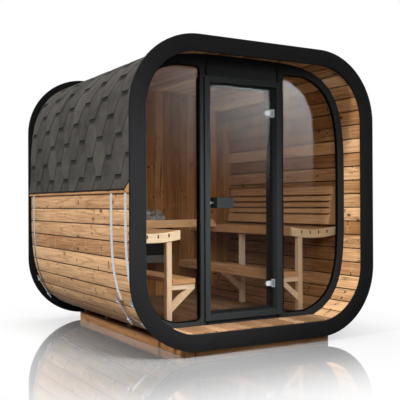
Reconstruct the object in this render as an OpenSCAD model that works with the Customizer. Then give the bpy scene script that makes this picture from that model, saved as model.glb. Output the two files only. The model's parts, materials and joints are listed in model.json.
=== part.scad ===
// Outdoor sauna with a bowed, rounded-square stave shell between two ring frames.
// Frame: X across the front, Y from front to back, Z up. Origin on the ground under the middle.
// Millimetres.

/* [Ring frames] */
// Outside width of each ring frame
ring_w = 2200; // [2000:10:2500]
// Outside height of each ring frame
ring_h = 2263; // [2050:1:2500]
// Outside radius of the ring corners
ring_r = 548; // [450:1:640]
// Width of the ring boards seen from the front
ring_face = 122; // [90:1:130]
// Thickness of the ring boards
ring_t = 26; // [18:1:40]
// Angle from level or plumb at which straight boards meet the corner pieces
ring_joint_angle = 21; // [10:1:35]
// Depth of the building over both rings
depth = 2289; // [2000:1:3200]

/* [Shell] */
// How far the rings stand out past the staves at the sides
proud_side = 24; // [14:1:40]
// How far the rings stand out past the staves at the top and bottom
proud_top = 28; // [14:1:40]
// Thickness of the staves
stave_t = 42; // [28:1:60]
// Exponent of the bowed outline, where 2 is an ellipse and larger is squarer
bow_power = 4; // [3.6:0.1:4.6]
// Number of staves round the shell
stave_count = 64; // [64:4:96]
// Staves in each corner segment of the shell
corner_staves = 6; // [4:2:8]

/* [Base] */
// Height of the ring frames above the ground
base_drop = 40; // [20:1:120]
// Width over the base frame
base_w = 1308; // [1000:2:1500]
// Thickness of the base boards
base_board_t = 45; // [28:1:70]
// Height of the side boards of the base
base_side_h = 70; // [50:1:75]
// Set-back of the base behind the front face
base_front_gap = 48; // [30:1:60]
// Set-back of the base in front of the rear face
base_rear_gap = 186; // [150:1:300]
// Number of cradle boards between the front and rear boards of the base
cradle_count = 3; // [1:1:4]

/* [Floor] */
// Height of the floor above the foot of the rings
floor_h = 131; // [120:1:160]
// Thickness of the floor boards
floor_t = 28; // [18:1:34]
// Thickness of the floor bearers
bearer_t = 45; // [28:1:60]
// Number of floor bearers inside the cabin
bearer_count = 4; // [2:1:6]

/* [End walls] */
// Depth of the porch in front of the front wall
porch_d = 282; // [220:1:320]
// Thickness of the end walls
wall_t = 42; // [36:1:60]
// Set-back of the rear wall in front of the rear face
rear_gap = 180; // [60:1:220]
// Distance of the wall seams from the middle of the front
seam_x = 325; // [280:1:340]

/* [Windows] */
// Width of the wall left between the curved side of a window and the staves
window_band = 62; // [50:1:90]
// Height of the wall left between a level window head and the top of the shell
window_head_gap = 94.5; // [80:0.5:140]
// Distance of the inner window edges from the middle of the front
window_x = 386; // [375:1:440]
// Radius of the inner window corners
window_r = 45; // [20:1:70]
// Thickness of the window glass
pane_t = 8; // [6:1:12]
// Set-back of the window glass behind the wall face
pane_gap = 28; // [10:1:28]

/* [Door] */
// Outside width of the door frame
frame_w = 716; // [690:2:740]
// Height of the foot of the door frame above the foot of the rings
frame_foot = 162; // [162:1:190]
// Gap between the head of the door frame and the roof staves over it
head_gap = 171; // [120:1:300]
// Width of the frame boards seen from the front
frame_face = 45; // [40:1:60]
// How far the door frame stands out in front of the wall
frame_proud = 25; // [10:1:40]
// Depth of the frame from its face to the stop
frame_rebate = 69; // [62:1:80]
// Depth of the stop part of the frame
frame_stop_d = 71; // [50:1:90]
// How far the stop stands in past the rebate
stop_w = 16; // [12:1:24]
// Gap all round between the leaf and the frame
leaf_gap = 10; // [8:0.5:12]
// Gap between the leaf and its stop
stop_gap = 7; // [6:0.5:9]
// Thickness of the glass leaf
leaf_t = 8; // [6:0.5:10]
// Distance of the hinge axis from the edge of the leaf
hinge_inset = 6; // [5:0.5:8]

/* [Door fittings] */
// Height of the lower hinge above the foot of the rings
hinge_low = 410; // [350:1:500]
// Distance of the upper hinge below the top of the door frame
hinge_drop = 243; // [200:1:400]
// Height of the hinge clamp
clamp_h = 40; // [30:1:50]
// Length of the hinge clamp from the hinge axis
clamp_l = 66; // [50:1:80]
// Thickness of each cheek of the hinge clamp
clamp_cheek_t = 5; // [3:0.5:5]
// Height of the hinge plate on the frame
plate_h = 64; // [60:1:80]
// Thickness of the hinge plate
plate_t = 4; // [3:0.5:5]
// Width of the hinge plate
plate_w = 34; // [30:1:40]
// Radius of the hinge pin
pin_r = 3.5; // [3:0.5:4]
// Radius of the hinge knuckles
knuckle_r = 8; // [7:0.5:8]
// Radial clearance of the hinge pin in its bore
pin_clear = 0.05; // [0.05:0.01:0.1]
// Length of the door handle block
handle_l = 151; // [120:1:180]
// Height of the door handle block
handle_h = 81; // [60:1:100]
// Depth of the outer handle block
handle_d = 72; // [50:1:90]
// Depth of the inner handle block
handle_inner_d = 34; // [25:1:60]
// Distance of the handle from the latch side of the frame opening
handle_inset = 47; // [35:1:60]
// Height of the middle of the handle above the foot of the rings
handle_z = 1059; // [950:1:1150]
// Radius of the roller latch
latch_r = 13; // [9:0.5:15]
// Gap between the roller latch and the frame
latch_gap = 7; // [7:0.5:9]

/* [Roof cover] */
// Thickness of the shingle cover
cover_t = 8; // [5:0.5:12]
// Angle above level at which the cover ends
eave_angle = 1; // [0.5:0.1:1.8]
// Thickness of the eave battens
batten_t = 16; // [10:1:22]
// How far the eave battens show below the cover
batten_show = 20; // [8:1:40]

/* [Hoops] */
// Thickness of the hoop bands
hoop_t = 2; // [1.5:0.5:4]
// Width of the hoop bands
hoop_w = 40; // [30:1:50]
// Distance of the first hoop from the front face
hoop_1 = 130; // [110:1:150]
// Distance of the second hoop from the front face
hoop_2 = 376; // [330:1:420]
// Distance of the rear hoop from the rear face
hoop_rear_gap = 102; // [60:1:120]
// Stave count below level at which the upper band ends
hoop_upper_end = 6.65; // [6:0.05:6.9]
// Stave count below level at which the lower band begins
hoop_lower_end = 7.87; // [7.5:0.05:8.3]
// Radius of the hoop lugs
lug_r = 13; // [11:0.5:15]
// Height of the rod above the staves at each lug
lug_rise = 27; // [24:1:32]
// Radius of the threaded rods
rod_r = 6; // [5:0.5:8]
// Length of a threaded rod past each lug
rod_tail = 48; // [30:1:60]
// Radius of the nuts on the rods
nut_r = 11; // [10:0.5:14]
// Thickness of the nuts
nut_t = 10; // [8:1:14]
// Radial clearance of the rod in its lugs
rod_clear = 0.3; // [0.2:0.1:0.5]

/* [Upper benches] */
// Height of the front edge of the upper bench above the foot of the rings
bench_z = 855; // [780:1:900]
// Distance of the upper bench edge from the middle
bench_x = 527; // [500:1:560]
// Gap between the upper bench and the staves beside it
bench_wall_gap = 34; // [20:1:60]
// Gap between the benches and the front wall
bench_end_gap = 20; // [3:1:30]
// Dip of the concave seat
bench_dip = 24; // [20:1:45]
// Height of the bench fascia and end plates
bench_face_h = 71; // [60:1:90]
// Thickness of the bench fascia and end plates
bench_board_t = 28; // [20:1:35]
// Number of seat slats on each upper bench
bench_slats = 4; // [3:1:6]
// Gap between seat slats
slat_gap = 12; // [6:1:20]
// Thickness of the seat slats
slat_t = 26; // [18:1:32]

/* [Lower benches] */
// Height of the lower bench above the foot of the rings
step_z = 484; // [420:1:520]
// Distance of the lower bench edge from the middle
step_x = 398; // [380:1:420]
// Height of the fascia of the lower bench
step_face_h = 70; // [50:1:80]
// Number of seat slats on each lower bench
step_slats = 2; // [2:1:3]

/* [Bench legs] */
// Distance of the outer face of the legs from the middle
leg_x = 640; // [620:1:660]
// Width and depth of the legs
leg_w = 45; // [38:1:60]
// Distance of the front legs behind the front wall
leg_front_gap = 30; // [10:1:60]
// Distance between the front legs and the second legs
leg_pitch = 855; // [700:1:1000]
// Height of the bracket arms under the lower bench
arm_h = 40; // [36:1:60]
// Width of the braces under the lower bench
brace_w = 45; // [30:1:50]
// Set-back of the braces behind the ends of the arms
brace_inset = 6; // [0:1:20]
// Drop of the braces down the legs
brace_drop = 165; // [140:1:200]

/* [Backrests] */
// Distance between the foot of the backrest and the staves beside it
back_wall_gap = 129; // [105:1:170]
// Lean of the backrest towards the wall
back_lean = 8; // [4:1:10]
// Height of the foot of the backrest above the edge of the upper bench
back_rise = 17; // [10:1:60]
// Height of the bottom backrest slat
back_foot = 80; // [60:1:90]
// Height of the top backrest slat
back_head = 70; // [60:1:90]
// Height of the narrow backrest slats
back_narrow = 40; // [30:1:50]
// Gap between the far end of the backrests and the rear wall
back_end_gap = 133; // [0:1:200]
// Gap between backrest slats
back_gap = 15; // [8:1:20]
// Thickness of the backrest slats
back_t = 20; // [15:1:25]
// Number of uprights behind each backrest
upright_count = 3; // [2:1:4]
// Width of the backrest uprights
upright_w = 45; // [35:1:60]

/* [Heater] */
// Width of the heater
heater_w = 400; // [350:1:480]
// Height of the heater body
heater_h = 400; // [350:1:500]
// Depth of the heater
heater_d = 280; // [240:1:420]
// Height of the heater above the foot of the rings
heater_z = 484; // [380:1:520]
// Thickness of the heater casing
heater_shell_t = 22; // [12:1:40]
// Depth of the stone tray
tray_d = 60; // [40:1:100]
// Height of the heap of stones above the heater
stones_h = 114; // [60:1:140]
// Steps in the heap of stones
stone_steps = 3; // [2:1:3]
// Set-back of each step of the heap behind the one under it
stone_inset = 46; // [20:1:46]
// Distance from the heater to its guard rail
rail_gap = 212; // [150:1:300]
// Distance of the foot of the guard rail below the edge of the upper benches
rail_drop = 25; // [15:1:60]
// Height of the guard rail
rail_h = 72; // [60:1:100]
// Thickness of the guard rail
rail_t = 35; // [25:1:45]

/* [Hidden] */
$fn = 96;

timber = [0.80, 0.60, 0.40];
pale_timber = [0.87, 0.72, 0.52];
anthracite = [0.17, 0.17, 0.18];
shingle_grey = [0.36, 0.35, 0.34];
steel_grey = [0.78, 0.80, 0.82];
bronze = [0.35, 0.27, 0.22, 0.45];
heater_black = [0.09, 0.09, 0.09];
stone_grey = [0.23, 0.22, 0.21];

// Gap between a loose piece and its seat
seat_clear = 0.3;

front_y = -depth / 2;
rear_y = depth / 2;
mid_z = base_drop + ring_h / 2;
// Far enough past any piece to cut right through it
reach = 2 * (ring_w + ring_h);

shell_y0 = front_y + ring_t;
shell_y1 = rear_y - ring_t;
wall_y0 = front_y + porch_d;
wall_y1 = wall_y0 + wall_t;
rear_wall_y1 = rear_y - rear_gap;
rear_wall_y0 = rear_wall_y1 - wall_t;
floor_z = base_drop + floor_h;

// Half axes of the bowed inner face of the staves
bow_a = ring_w / 2 - proud_side - stave_t;
bow_b = ring_h / 2 - proud_top - stave_t;

// Distance from the middle to the bowed outline at a polar angle
function bow_reach(angle) =
    pow(pow(abs(cos(angle)) / bow_a, bow_power) + pow(abs(sin(angle)) / bow_b, bow_power),
        -1 / bow_power);

function bow_point(angle) = bow_reach(angle) * [cos(angle), sin(angle)];

// Direction straight out of the bowed outline
function bow_normal(angle) =
    let (
        p = bow_point(angle),
        slope = [
            sign(p.x) * pow(abs(p.x) / bow_a, bow_power - 1) / bow_a,
            sign(p.y) * pow(abs(p.y) / bow_b, bow_power - 1) / bow_b
        ]
    )
    slope / norm(slope);

// Point that lies a distance out from the inner face of the staves
function shell_point(angle, out) = [0, mid_z] + bow_point(angle) + out * bow_normal(angle);

// Running length along the outline against polar angle
arc_steps = 720;
arc_table = [
    for (
        i = 0, run = 0;
        i <= arc_steps;
        run = run + norm(bow_point((i + 1) * 360 / arc_steps) - bow_point(i * 360 / arc_steps)),
        i = i + 1
    )
    [run, i * 360 / arc_steps]
];
stave_pitch = arc_table[arc_steps][0] / stave_count;

// Polar angle of a stave joint, counted up from level on the right
function joint_angle(k) =
    let (turns = floor(k / stave_count))
    360 * turns + lookup((k - turns * stave_count) * stave_pitch, arc_table);

// Corner of the faceted shell at a whole joint
function joint_point(k, out) = shell_point(joint_angle(k), out);

// Point on the flat facets of the shell, also between joints
function facet_point(k, out) =
    let (k0 = floor(k), part = k - k0)
    part == 0
        ? joint_point(k0, out)
        : (1 - part) * joint_point(k0, out) + part * joint_point(k0 + 1, out);

// Points along the facets from one place to another, both included
function facet_run(k0, k1, out) = concat(
    [facet_point(k0, out)],
    [for (k = [floor(k0) + 1 : 1 : ceil(k1) - 1]) joint_point(k, out)],
    [facet_point(k1, out)]
);

function backwards(list) = [for (i = [len(list) - 1 : -1 : 0]) list[i]];

// Strip that follows the facets between two distances out
module facet_strip(k0, k1, inner, outer) {
    polygon(concat(facet_run(k0, k1, inner), backwards(facet_run(k0, k1, outer))));
}

// Whole faceted outline at a distance out from the inner face
module shell_outline(out) {
    polygon([for (k = [0 : 1 : stave_count - 1]) joint_point(k, out)]);
}

// Stand a drawing of X and Z up between two depths
module between_y(y0, y1) {
    translate([0, y1, 0])
        rotate([90, 0, 0])
            linear_extrude(y1 - y0)
                children();
}

module box_between(low, high) {
    translate(low)
        cube(high - low);
}

module both_sides() {
    children();
    mirror([1, 0, 0])
        children();
}

quarter = stave_count / 4;
side_half = quarter / 2 - corner_staves / 2;

// ---------------------------------------------------------------- base

base_y0 = front_y + base_front_gap;
base_y1 = rear_y - base_rear_gap;

module base_sides() {
    color(timber)
        both_sides()
            box_between(
                [base_w / 2 - base_board_t, base_y0, 0],
                [base_w / 2, base_y1, base_side_h]
            );
}

// Board on edge, cut out on top so that the staves lie in it
module cradle(y0) {
    between_y(y0, y0 + base_board_t)
        difference() {
            translate([base_board_t - base_w / 2, 0])
                square([base_w - 2 * base_board_t, mid_z / 2]);
            shell_outline(stave_t);
            // The boards end below the round of the corners
            translate([-reach / 2, base_drop + base_side_h])
                square(reach);
        }
}

module base_cross_boards() {
    span = base_y1 - base_y0 - base_board_t;
    color(timber)
        for (i = [0 : 1 : cradle_count + 1])
            cradle(base_y0 + span * i / (cradle_count + 1));
}

// ---------------------------------------------------------------- shell

module shell_segment(k0, k1) {
    color(timber)
        between_y(shell_y0, shell_y1)
            facet_strip(k0, k1, 0, stave_t);
}

module shell_right() {
    shell_segment(-side_half, side_half);
}

module shell_corner_top_right() {
    shell_segment(side_half, side_half + corner_staves);
}

module shell_roof() {
    shell_segment(quarter - side_half, quarter + side_half);
}

module shell_corner_top_left() {
    shell_segment(quarter + side_half, quarter + side_half + corner_staves);
}

module shell_left() {
    shell_segment(2 * quarter - side_half, 2 * quarter + side_half);
}

module shell_corner_bottom_left() {
    shell_segment(2 * quarter + side_half, 2 * quarter + side_half + corner_staves);
}

module shell_floor() {
    shell_segment(3 * quarter - side_half, 3 * quarter + side_half);
}

module shell_corner_bottom_right() {
    shell_segment(3 * quarter + side_half, 3 * quarter + side_half + corner_staves);
}

// ---------------------------------------------------------------- floor

// Slice of the inside of the shell between two heights
module inside_slice(z0, z1) {
    intersection() {
        shell_outline(0);
        translate([-reach / 2, z0])
            square([reach, z1 - z0]);
    }
}

module porch_deck() {
    color(timber)
        between_y(shell_y0, wall_y0)
            inside_slice(floor_z - floor_t, floor_z);
}

module cabin_floor() {
    color(timber)
        between_y(wall_y1, rear_wall_y0)
            inside_slice(floor_z - floor_t, floor_z);
}

module floor_bearer(y) {
    between_y(y - bearer_t / 2, y + bearer_t / 2)
        inside_slice(0, floor_z - floor_t);
}

module floor_bearers() {
    cabin_d = rear_wall_y0 - wall_y1;
    color(timber) {
        floor_bearer((shell_y0 + wall_y0) / 2);
        for (i = [0.5 : 1 : bearer_count - 0.5])
            floor_bearer(wall_y1 + cabin_d * i / bearer_count);
    }
}

// ---------------------------------------------------------------- ring frames

module rounded_square(w, h, r) {
    translate([-w / 2, mid_z - h / 2 + r])
        square([w, h - 2 * r]);
    translate([r - w / 2, mid_z - h / 2])
        square([w - 2 * r, h]);
    for (sx = [-1, 1])
        for (sz = [-1, 1])
            translate([sx * (w / 2 - r), mid_z + sz * (h / 2 - r)])
                circle(r);
}

module ring_outline() {
    difference() {
        rounded_square(ring_w, ring_h, ring_r);
        rounded_square(ring_w - 2 * ring_face, ring_h - 2 * ring_face, ring_r - ring_face);
    }
}

// Wedge that spans one corner piece, from the centre of the corner
module corner_wedge(sx, sz) {
    far = ring_r * 2;
    a = ring_joint_angle;
    centre = [sx * (ring_w / 2 - ring_r), mid_z + sz * (ring_h / 2 - ring_r)];
    polygon([
        centre,
        centre + far * [sx * cos(a), sz * sin(a)],
        centre + far * [sx, sz],
        centre + far * [sx * sin(a), sz * cos(a)]
    ]);
}

module ring_corners(y0) {
    color(anthracite)
        for (sx = [-1, 1])
            for (sz = [-1, 1])
                between_y(y0, y0 + ring_t)
                    intersection() {
                        ring_outline();
                        corner_wedge(sx, sz);
                    }
}

module ring_boards(y0) {
    color(anthracite)
        between_y(y0, y0 + ring_t)
            difference() {
                ring_outline();
                for (sx = [-1, 1])
                    for (sz = [-1, 1])
                        corner_wedge(sx, sz);
            }
}

module front_ring_boards() {
    ring_boards(front_y);
}

module front_ring_corners() {
    ring_corners(front_y);
}

module rear_ring_boards() {
    ring_boards(shell_y1);
}

module rear_ring_corners() {
    ring_corners(shell_y1);
}

// ---------------------------------------------------------------- end walls and windows

frame_z0 = base_drop + frame_foot;
frame_z1 = mid_z + bow_b - head_gap;

function window_edge(angle) = shell_point(angle, -window_band);

// Height of the curved side of a window against distance from the middle
window_heights = [for (angle = [90 : -1 : 20]) window_edge(angle)];
// Polar angle of the curved side against its height
window_angles = [for (angle = [20 : 1 : 90]) [window_edge(angle).y, angle]];

function arc_points(centre, r, from, to) =
    let (steps = 8)
    [for (i = [0 : 1 : steps]) centre + r * [cos(from + (to - from) * i / steps),
                                             sin(from + (to - from) * i / steps)]];

// Level head and foot, a side that follows the staves and an upright side with round corners
function window_outline() =
    let (
        steps = 64,
        corner_x = window_x + window_r,
        top = min(mid_z + bow_b - window_head_gap, lookup(corner_x, window_heights)),
        start = lookup(top, window_angles),
        side = [for (i = [0 : 1 : steps]) window_edge(start * (1 - 2 * i / steps))],
        curve = [for (p = side) if (p.x > corner_x) p]
    )
    concat(
        curve,
        arc_points([corner_x, 2 * mid_z - top + window_r], window_r, 270, 180),
        arc_points([corner_x, top - window_r], window_r, 180, 90)
    );

module door_hole() {
    translate([-frame_w / 2, frame_z0])
        square([frame_w, frame_z1 - frame_z0]);
}

module front_wall_side() {
    color(anthracite)
        between_y(wall_y0, wall_y1)
            difference() {
                shell_outline(0);
                translate([seam_x - reach, 0])
                    square(reach);
                door_hole();
                polygon(window_outline());
            }
}

module front_wall_right() {
    front_wall_side();
}

module front_wall_left() {
    mirror([1, 0, 0])
        front_wall_side();
}

module front_wall_middle(z0, z1) {
    color(anthracite)
        between_y(wall_y0, wall_y1)
            intersection() {
                shell_outline(0);
                translate([-seam_x, z0])
                    square([2 * seam_x, z1 - z0]);
            }
}

module front_wall_header() {
    front_wall_middle(frame_z1, reach);
}

module front_wall_sill() {
    front_wall_middle(0, frame_z0);
}

module rear_wall() {
    color(anthracite)
        between_y(rear_wall_y0, rear_wall_y1)
            shell_outline(0);
}

module window_right() {
    color(bronze)
        between_y(wall_y0 + pane_gap, wall_y0 + pane_gap + pane_t)
            polygon(window_outline());
}

module window_left() {
    mirror([1, 0, 0])
        window_right();
}

// ---------------------------------------------------------------- door frame

frame_y0 = wall_y0 - frame_proud;
stop_y0 = frame_y0 + frame_rebate;
frame_y1 = stop_y0 + frame_stop_d;
reveal_x = frame_w / 2 - frame_face;

module door_jambs() {
    color(anthracite)
        both_sides() {
            box_between([reveal_x, frame_y0, frame_z0], [frame_w / 2, frame_y1, frame_z1]);
            box_between(
                [reveal_x - stop_w, stop_y0, frame_z0 + frame_face],
                [reveal_x, frame_y1, frame_z1 - frame_face]
            );
        }
}

// Level board of the frame with its stop, between the jambs
module frame_rail(z0, stop_z0) {
    box_between([-reveal_x, frame_y0, z0], [reveal_x, frame_y1, z0 + frame_face]);
    box_between(
        [stop_w - reveal_x, stop_y0, stop_z0],
        [reveal_x - stop_w, frame_y1, stop_z0 + stop_w]
    );
}

module door_head() {
    color(anthracite)
        frame_rail(frame_z1 - frame_face, frame_z1 - frame_face - stop_w);
}

module door_threshold() {
    color(anthracite)
        frame_rail(frame_z0, frame_z0 + frame_face);
}

// ---------------------------------------------------------------- door leaf

leaf_y1 = stop_y0 - stop_gap;
leaf_y0 = leaf_y1 - leaf_t;
leaf_x = reveal_x - leaf_gap;
hinge_x = leaf_x - hinge_inset;
hinge_y = (leaf_y0 + leaf_y1) / 2;
hinge_heights = [base_drop + hinge_low, frame_z1 - hinge_drop];
knuckle_gap = 1;
notch_clear = 2;
// Depth of the cut-out in the glass at each hinge
notch_d = 2 * knuckle_r + notch_clear;

module door_glass() {
    color(bronze)
        difference() {
            box_between(
                [-leaf_x, leaf_y0, frame_z0 + frame_face + leaf_gap],
                [leaf_x, leaf_y1, frame_z1 - frame_face - leaf_gap]
            );
            for (z = hinge_heights)
                box_between(
                    [leaf_x - notch_d, leaf_y0 - leaf_t, z - plate_h / 2 - notch_clear],
                    [leaf_x + leaf_t, leaf_y1 + leaf_t, z + plate_h / 2 + notch_clear]
                );
        }
}

// Two cheeks on the glass, joined to the knuckle through the cut-out
module hinge_clamp() {
    cheek_round = clamp_h / 2;
    difference() {
        union() {
            for (y = [leaf_y0 - clamp_cheek_t, leaf_y1])
                translate([hinge_x, y, 0])
                    rotate([-90, 0, 0])
                        linear_extrude(clamp_cheek_t) {
                            translate([cheek_round - clamp_l, -clamp_h / 2])
                                square([clamp_l - cheek_round, clamp_h]);
                            translate([cheek_round - clamp_l, 0])
                                circle(cheek_round);
                        }
            box_between(
                [leaf_x - notch_d, leaf_y0, -clamp_h / 2],
                [hinge_x, leaf_y1, clamp_h / 2]
            );
            translate([hinge_x, hinge_y, -clamp_h / 2])
                cylinder(h = clamp_h, r = knuckle_r);
        }
        translate([hinge_x, hinge_y, -clamp_h])
            cylinder(h = 2 * clamp_h, r = pin_r + pin_clear);
    }
}

module door_hinge_clamps() {
    color(steel_grey)
        for (z = hinge_heights)
            translate([0, 0, z])
                hinge_clamp();
}

// Plate on the frame with an ear above and below the knuckle, and the pin
module hinge_plate() {
    ear_h = (plate_h - clamp_h) / 2 - knuckle_gap;
    plate_x = reveal_x - plate_t;
    box_between([plate_x, stop_y0 - plate_w, -plate_h / 2], [reveal_x, stop_y0, plate_h / 2]);
    for (z = [-plate_h / 2, plate_h / 2 - ear_h]) {
        translate([hinge_x, hinge_y, z])
            cylinder(h = ear_h, r = knuckle_r);
        box_between(
            [hinge_x, hinge_y - knuckle_r, z],
            [plate_x, hinge_y + knuckle_r, z + ear_h]
        );
    }
    translate([hinge_x, hinge_y, -plate_h / 2])
        cylinder(h = plate_h, r = pin_r);
}

module door_hinge_plates() {
    color(steel_grey)
        for (z = hinge_heights)
            translate([0, 0, z])
                hinge_plate();
}

handle_x0 = handle_inset - reveal_x;

module door_handles() {
    z0 = base_drop + handle_z - handle_h / 2;
    color(anthracite) {
        box_between(
            [handle_x0, leaf_y0 - handle_d, z0],
            [handle_x0 + handle_l, leaf_y0, z0 + handle_h]
        );
        box_between(
            [handle_x0, leaf_y1, z0],
            [handle_x0 + handle_l, leaf_y1 + handle_inner_d, z0 + handle_h]
        );
    }
}

module door_latch() {
    color(steel_grey)
        translate([latch_gap - reveal_x, leaf_y0 - latch_r - clamp_cheek_t, base_drop + handle_z])
            rotate([0, 90, 0])
                cylinder(h = handle_inset - latch_gap, r = latch_r);
}

// ---------------------------------------------------------------- roof cover and eaves

half = stave_count / 2;

function cover_inner() = concat(
    [shell_point(eave_angle, stave_t + hoop_t + batten_t)],
    [for (k = [1 : 1 : half - 1]) joint_point(k, stave_t + hoop_t)],
    [shell_point(180 - eave_angle, stave_t + hoop_t + batten_t)]
);

function cover_outer() = concat(
    [shell_point(eave_angle, stave_t + hoop_t + batten_t + cover_t)],
    [for (k = [1 : 1 : half - 1]) joint_point(k, stave_t + hoop_t + cover_t)],
    [shell_point(180 - eave_angle, stave_t + hoop_t + batten_t + cover_t)]
);

module roof_cover() {
    color(shingle_grey)
        between_y(shell_y0, shell_y1)
            polygon(concat(cover_inner(), backwards(cover_outer())));
}

// Tapered batten over the hoops, under the lowest shingles
module eave_battens() {
    low_k = -(batten_show - bow_a * tan(eave_angle)) / stave_pitch;
    outside = stave_t + hoop_t;
    color(timber)
        both_sides()
            between_y(shell_y0, shell_y1)
                polygon(concat(
                    [
                        facet_point(low_k, outside + batten_t),
                        shell_point(eave_angle, outside + batten_t)
                    ],
                    backwards(facet_run(low_k, 1, outside))
                ));
}

// ---------------------------------------------------------------- hoops

hoop_places = [front_y + hoop_1, front_y + hoop_2, rear_y - hoop_rear_gap];
upper_lug = facet_point(-hoop_upper_end, stave_t + lug_rise);
lower_lug = facet_point(-hoop_lower_end, stave_t + lug_rise);
lug_span = lower_lug - upper_lug;
rod_angle = atan2(lug_span.y, lug_span.x);

// Folded end of a band, round its cross barrel
module lug(k) {
    centre = facet_point(k, stave_t + lug_rise);
    foot = facet_point(k, stave_t);
    // A little narrower than the barrel, so that the two run into each other
    neck_r = 0.9 * lug_r;
    along = neck_r * lug_span / norm(lug_span);
    difference() {
        union() {
            translate(centre)
                circle(lug_r);
            polygon([foot - along, centre - along, centre + along, foot + along]);
        }
        shell_outline(stave_t);
    }
}

module rod_hole(y) {
    translate([upper_lug.x, y, upper_lug.y])
        rotate([0, 90 - rod_angle, 0])
            translate([0, 0, -norm(lug_span)])
                cylinder(h = 3 * norm(lug_span), r = rod_r + rod_clear);
}

module hoop_bands() {
    color(steel_grey)
        for (y = hoop_places)
            difference() {
                between_y(y - hoop_w / 2, y + hoop_w / 2) {
                    facet_strip(-hoop_upper_end, half + hoop_upper_end, stave_t, stave_t + hoop_t);
                    facet_strip(
                        half + hoop_lower_end, stave_count - hoop_lower_end,
                        stave_t, stave_t + hoop_t
                    );
                    both_sides() {
                        lug(-hoop_upper_end);
                        lug(-hoop_lower_end);
                    }
                }
                both_sides()
                    rod_hole(y);
            }
}

// Threaded rod through both lugs, with a nut outside each
module tension_rod() {
    nut_seat = lug_r + seat_clear;
    translate([upper_lug.x, 0, upper_lug.y])
        rotate([0, 90 - rod_angle, 0]) {
            translate([0, 0, -rod_tail])
                cylinder(h = norm(lug_span) + 2 * rod_tail, r = rod_r);
            translate([0, 0, -nut_seat - nut_t])
                cylinder(h = nut_t, r = nut_r, $fn = 6);
            translate([0, 0, norm(lug_span) + nut_seat])
                cylinder(h = nut_t, r = nut_r, $fn = 6);
        }
}

module hoop_rods() {
    color(steel_grey)
        for (y = hoop_places)
            both_sides()
                translate([0, y, 0])
                    tension_rod();
}

// ---------------------------------------------------------------- benches

bench_y0 = wall_y1 + bench_end_gap;
bench_y1 = rear_wall_y0;
bench_top = base_drop + bench_z;
bench_w = bow_a - bench_wall_gap - bench_x;
bench_mid_x = bench_x + bench_w / 2;
// Radius of the seat from its width and dip
seat_r = (pow(bench_w / 2, 2) + pow(bench_dip, 2)) / (2 * bench_dip);
seat_centre = [bench_mid_x, bench_top - bench_dip + seat_r];
seat_angle = asin(bench_w / 2 / seat_r);
leg_ys = [wall_y1 + leg_front_gap, wall_y1 + leg_front_gap + leg_pitch];
cross_t = leg_w;

// Curved strip of the seat between two depths below it and two distances from the middle
module seat_strip(top, bottom, x0, x1) {
    intersection() {
        difference() {
            translate(seat_centre)
                circle(seat_r + bottom, $fn = 360);
            translate(seat_centre)
                circle(seat_r + top, $fn = 360);
        }
        translate([x0, 0])
            square([x1 - x0, seat_centre.y]);
    }
}

module upper_bench() {
    slat_span = bench_w - bench_board_t - slat_gap;
    slat_w = (slat_span - bench_slats * slat_gap) / bench_slats;
    y0 = bench_y0 + bench_board_t;
    y1 = bench_y1 - bench_board_t;
    // Fascia along the edge of the aisle
    between_y(y0, y1)
        seat_strip(0, bench_face_h, bench_x, bench_x + bench_board_t);
    for (i = [0 : 1 : bench_slats - 1]) {
        x0 = bench_x + bench_board_t + slat_gap + i * (slat_w + slat_gap);
        between_y(y0, y1)
            seat_strip(0, slat_t, x0, x0 + slat_w);
    }
}

module upper_bench_right() {
    color(pale_timber)
        upper_bench();
}

module upper_bench_left() {
    color(pale_timber)
        mirror([1, 0, 0])
            upper_bench();
}

// End plates of the upper benches and the curved bearers over the legs
module upper_bench_ends() {
    color(pale_timber)
        both_sides() {
            for (y = [bench_y0, bench_y1 - bench_board_t])
                between_y(y, y + bench_board_t)
                    seat_strip(0, bench_face_h, bench_x, bench_x + bench_w);
            between_y(leg_ys[1], leg_ys[1] + cross_t)
                seat_strip(
                    slat_t, bench_face_h,
                    bench_x + bench_board_t, bench_x + bench_w
                );
        }
}

step_top = base_drop + step_z;
step_y0 = bench_y0;
step_w = leg_x - step_x;

end_board_h = bench_board_t + slat_gap;

// Fascia of the lower bench along the edge of the aisle
module step_fascia() {
    box_between(
        [step_x, step_y0 + bench_board_t, step_top - step_face_h],
        [step_x + bench_board_t, bench_y1, step_top]
    );
}

module lower_benches() {
    slat_span = step_w - leg_w - bench_board_t - slat_gap;
    slat_w = (slat_span - step_slats * slat_gap) / step_slats;
    color(pale_timber)
        both_sides() {
            step_fascia();
            for (i = [0 : 1 : step_slats - 1]) {
                x0 = step_x + bench_board_t + slat_gap + i * (slat_w + slat_gap);
                box_between(
                    [x0, step_y0 + bench_board_t, step_top - slat_t],
                    [x0 + slat_w, bench_y1, step_top]
                );
            }
            // End board over the slat ends
            box_between(
                [step_x, step_y0, step_top - end_board_h],
                [leg_x - leg_w, step_y0 + bench_board_t, step_top]
            );
        }
}

module bench_legs() {
    color(pale_timber)
        both_sides()
            for (y = leg_ys)
                intersection() {
                    box_between([leg_x - leg_w, y, floor_z], [leg_x, y + leg_w, bench_top]);
                    between_y(y, y + leg_w)
                        difference() {
                            square([ring_w, mid_z]);
                            translate(seat_centre)
                                circle(seat_r + bench_face_h, $fn = 360);
                        }
                }
}

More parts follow.
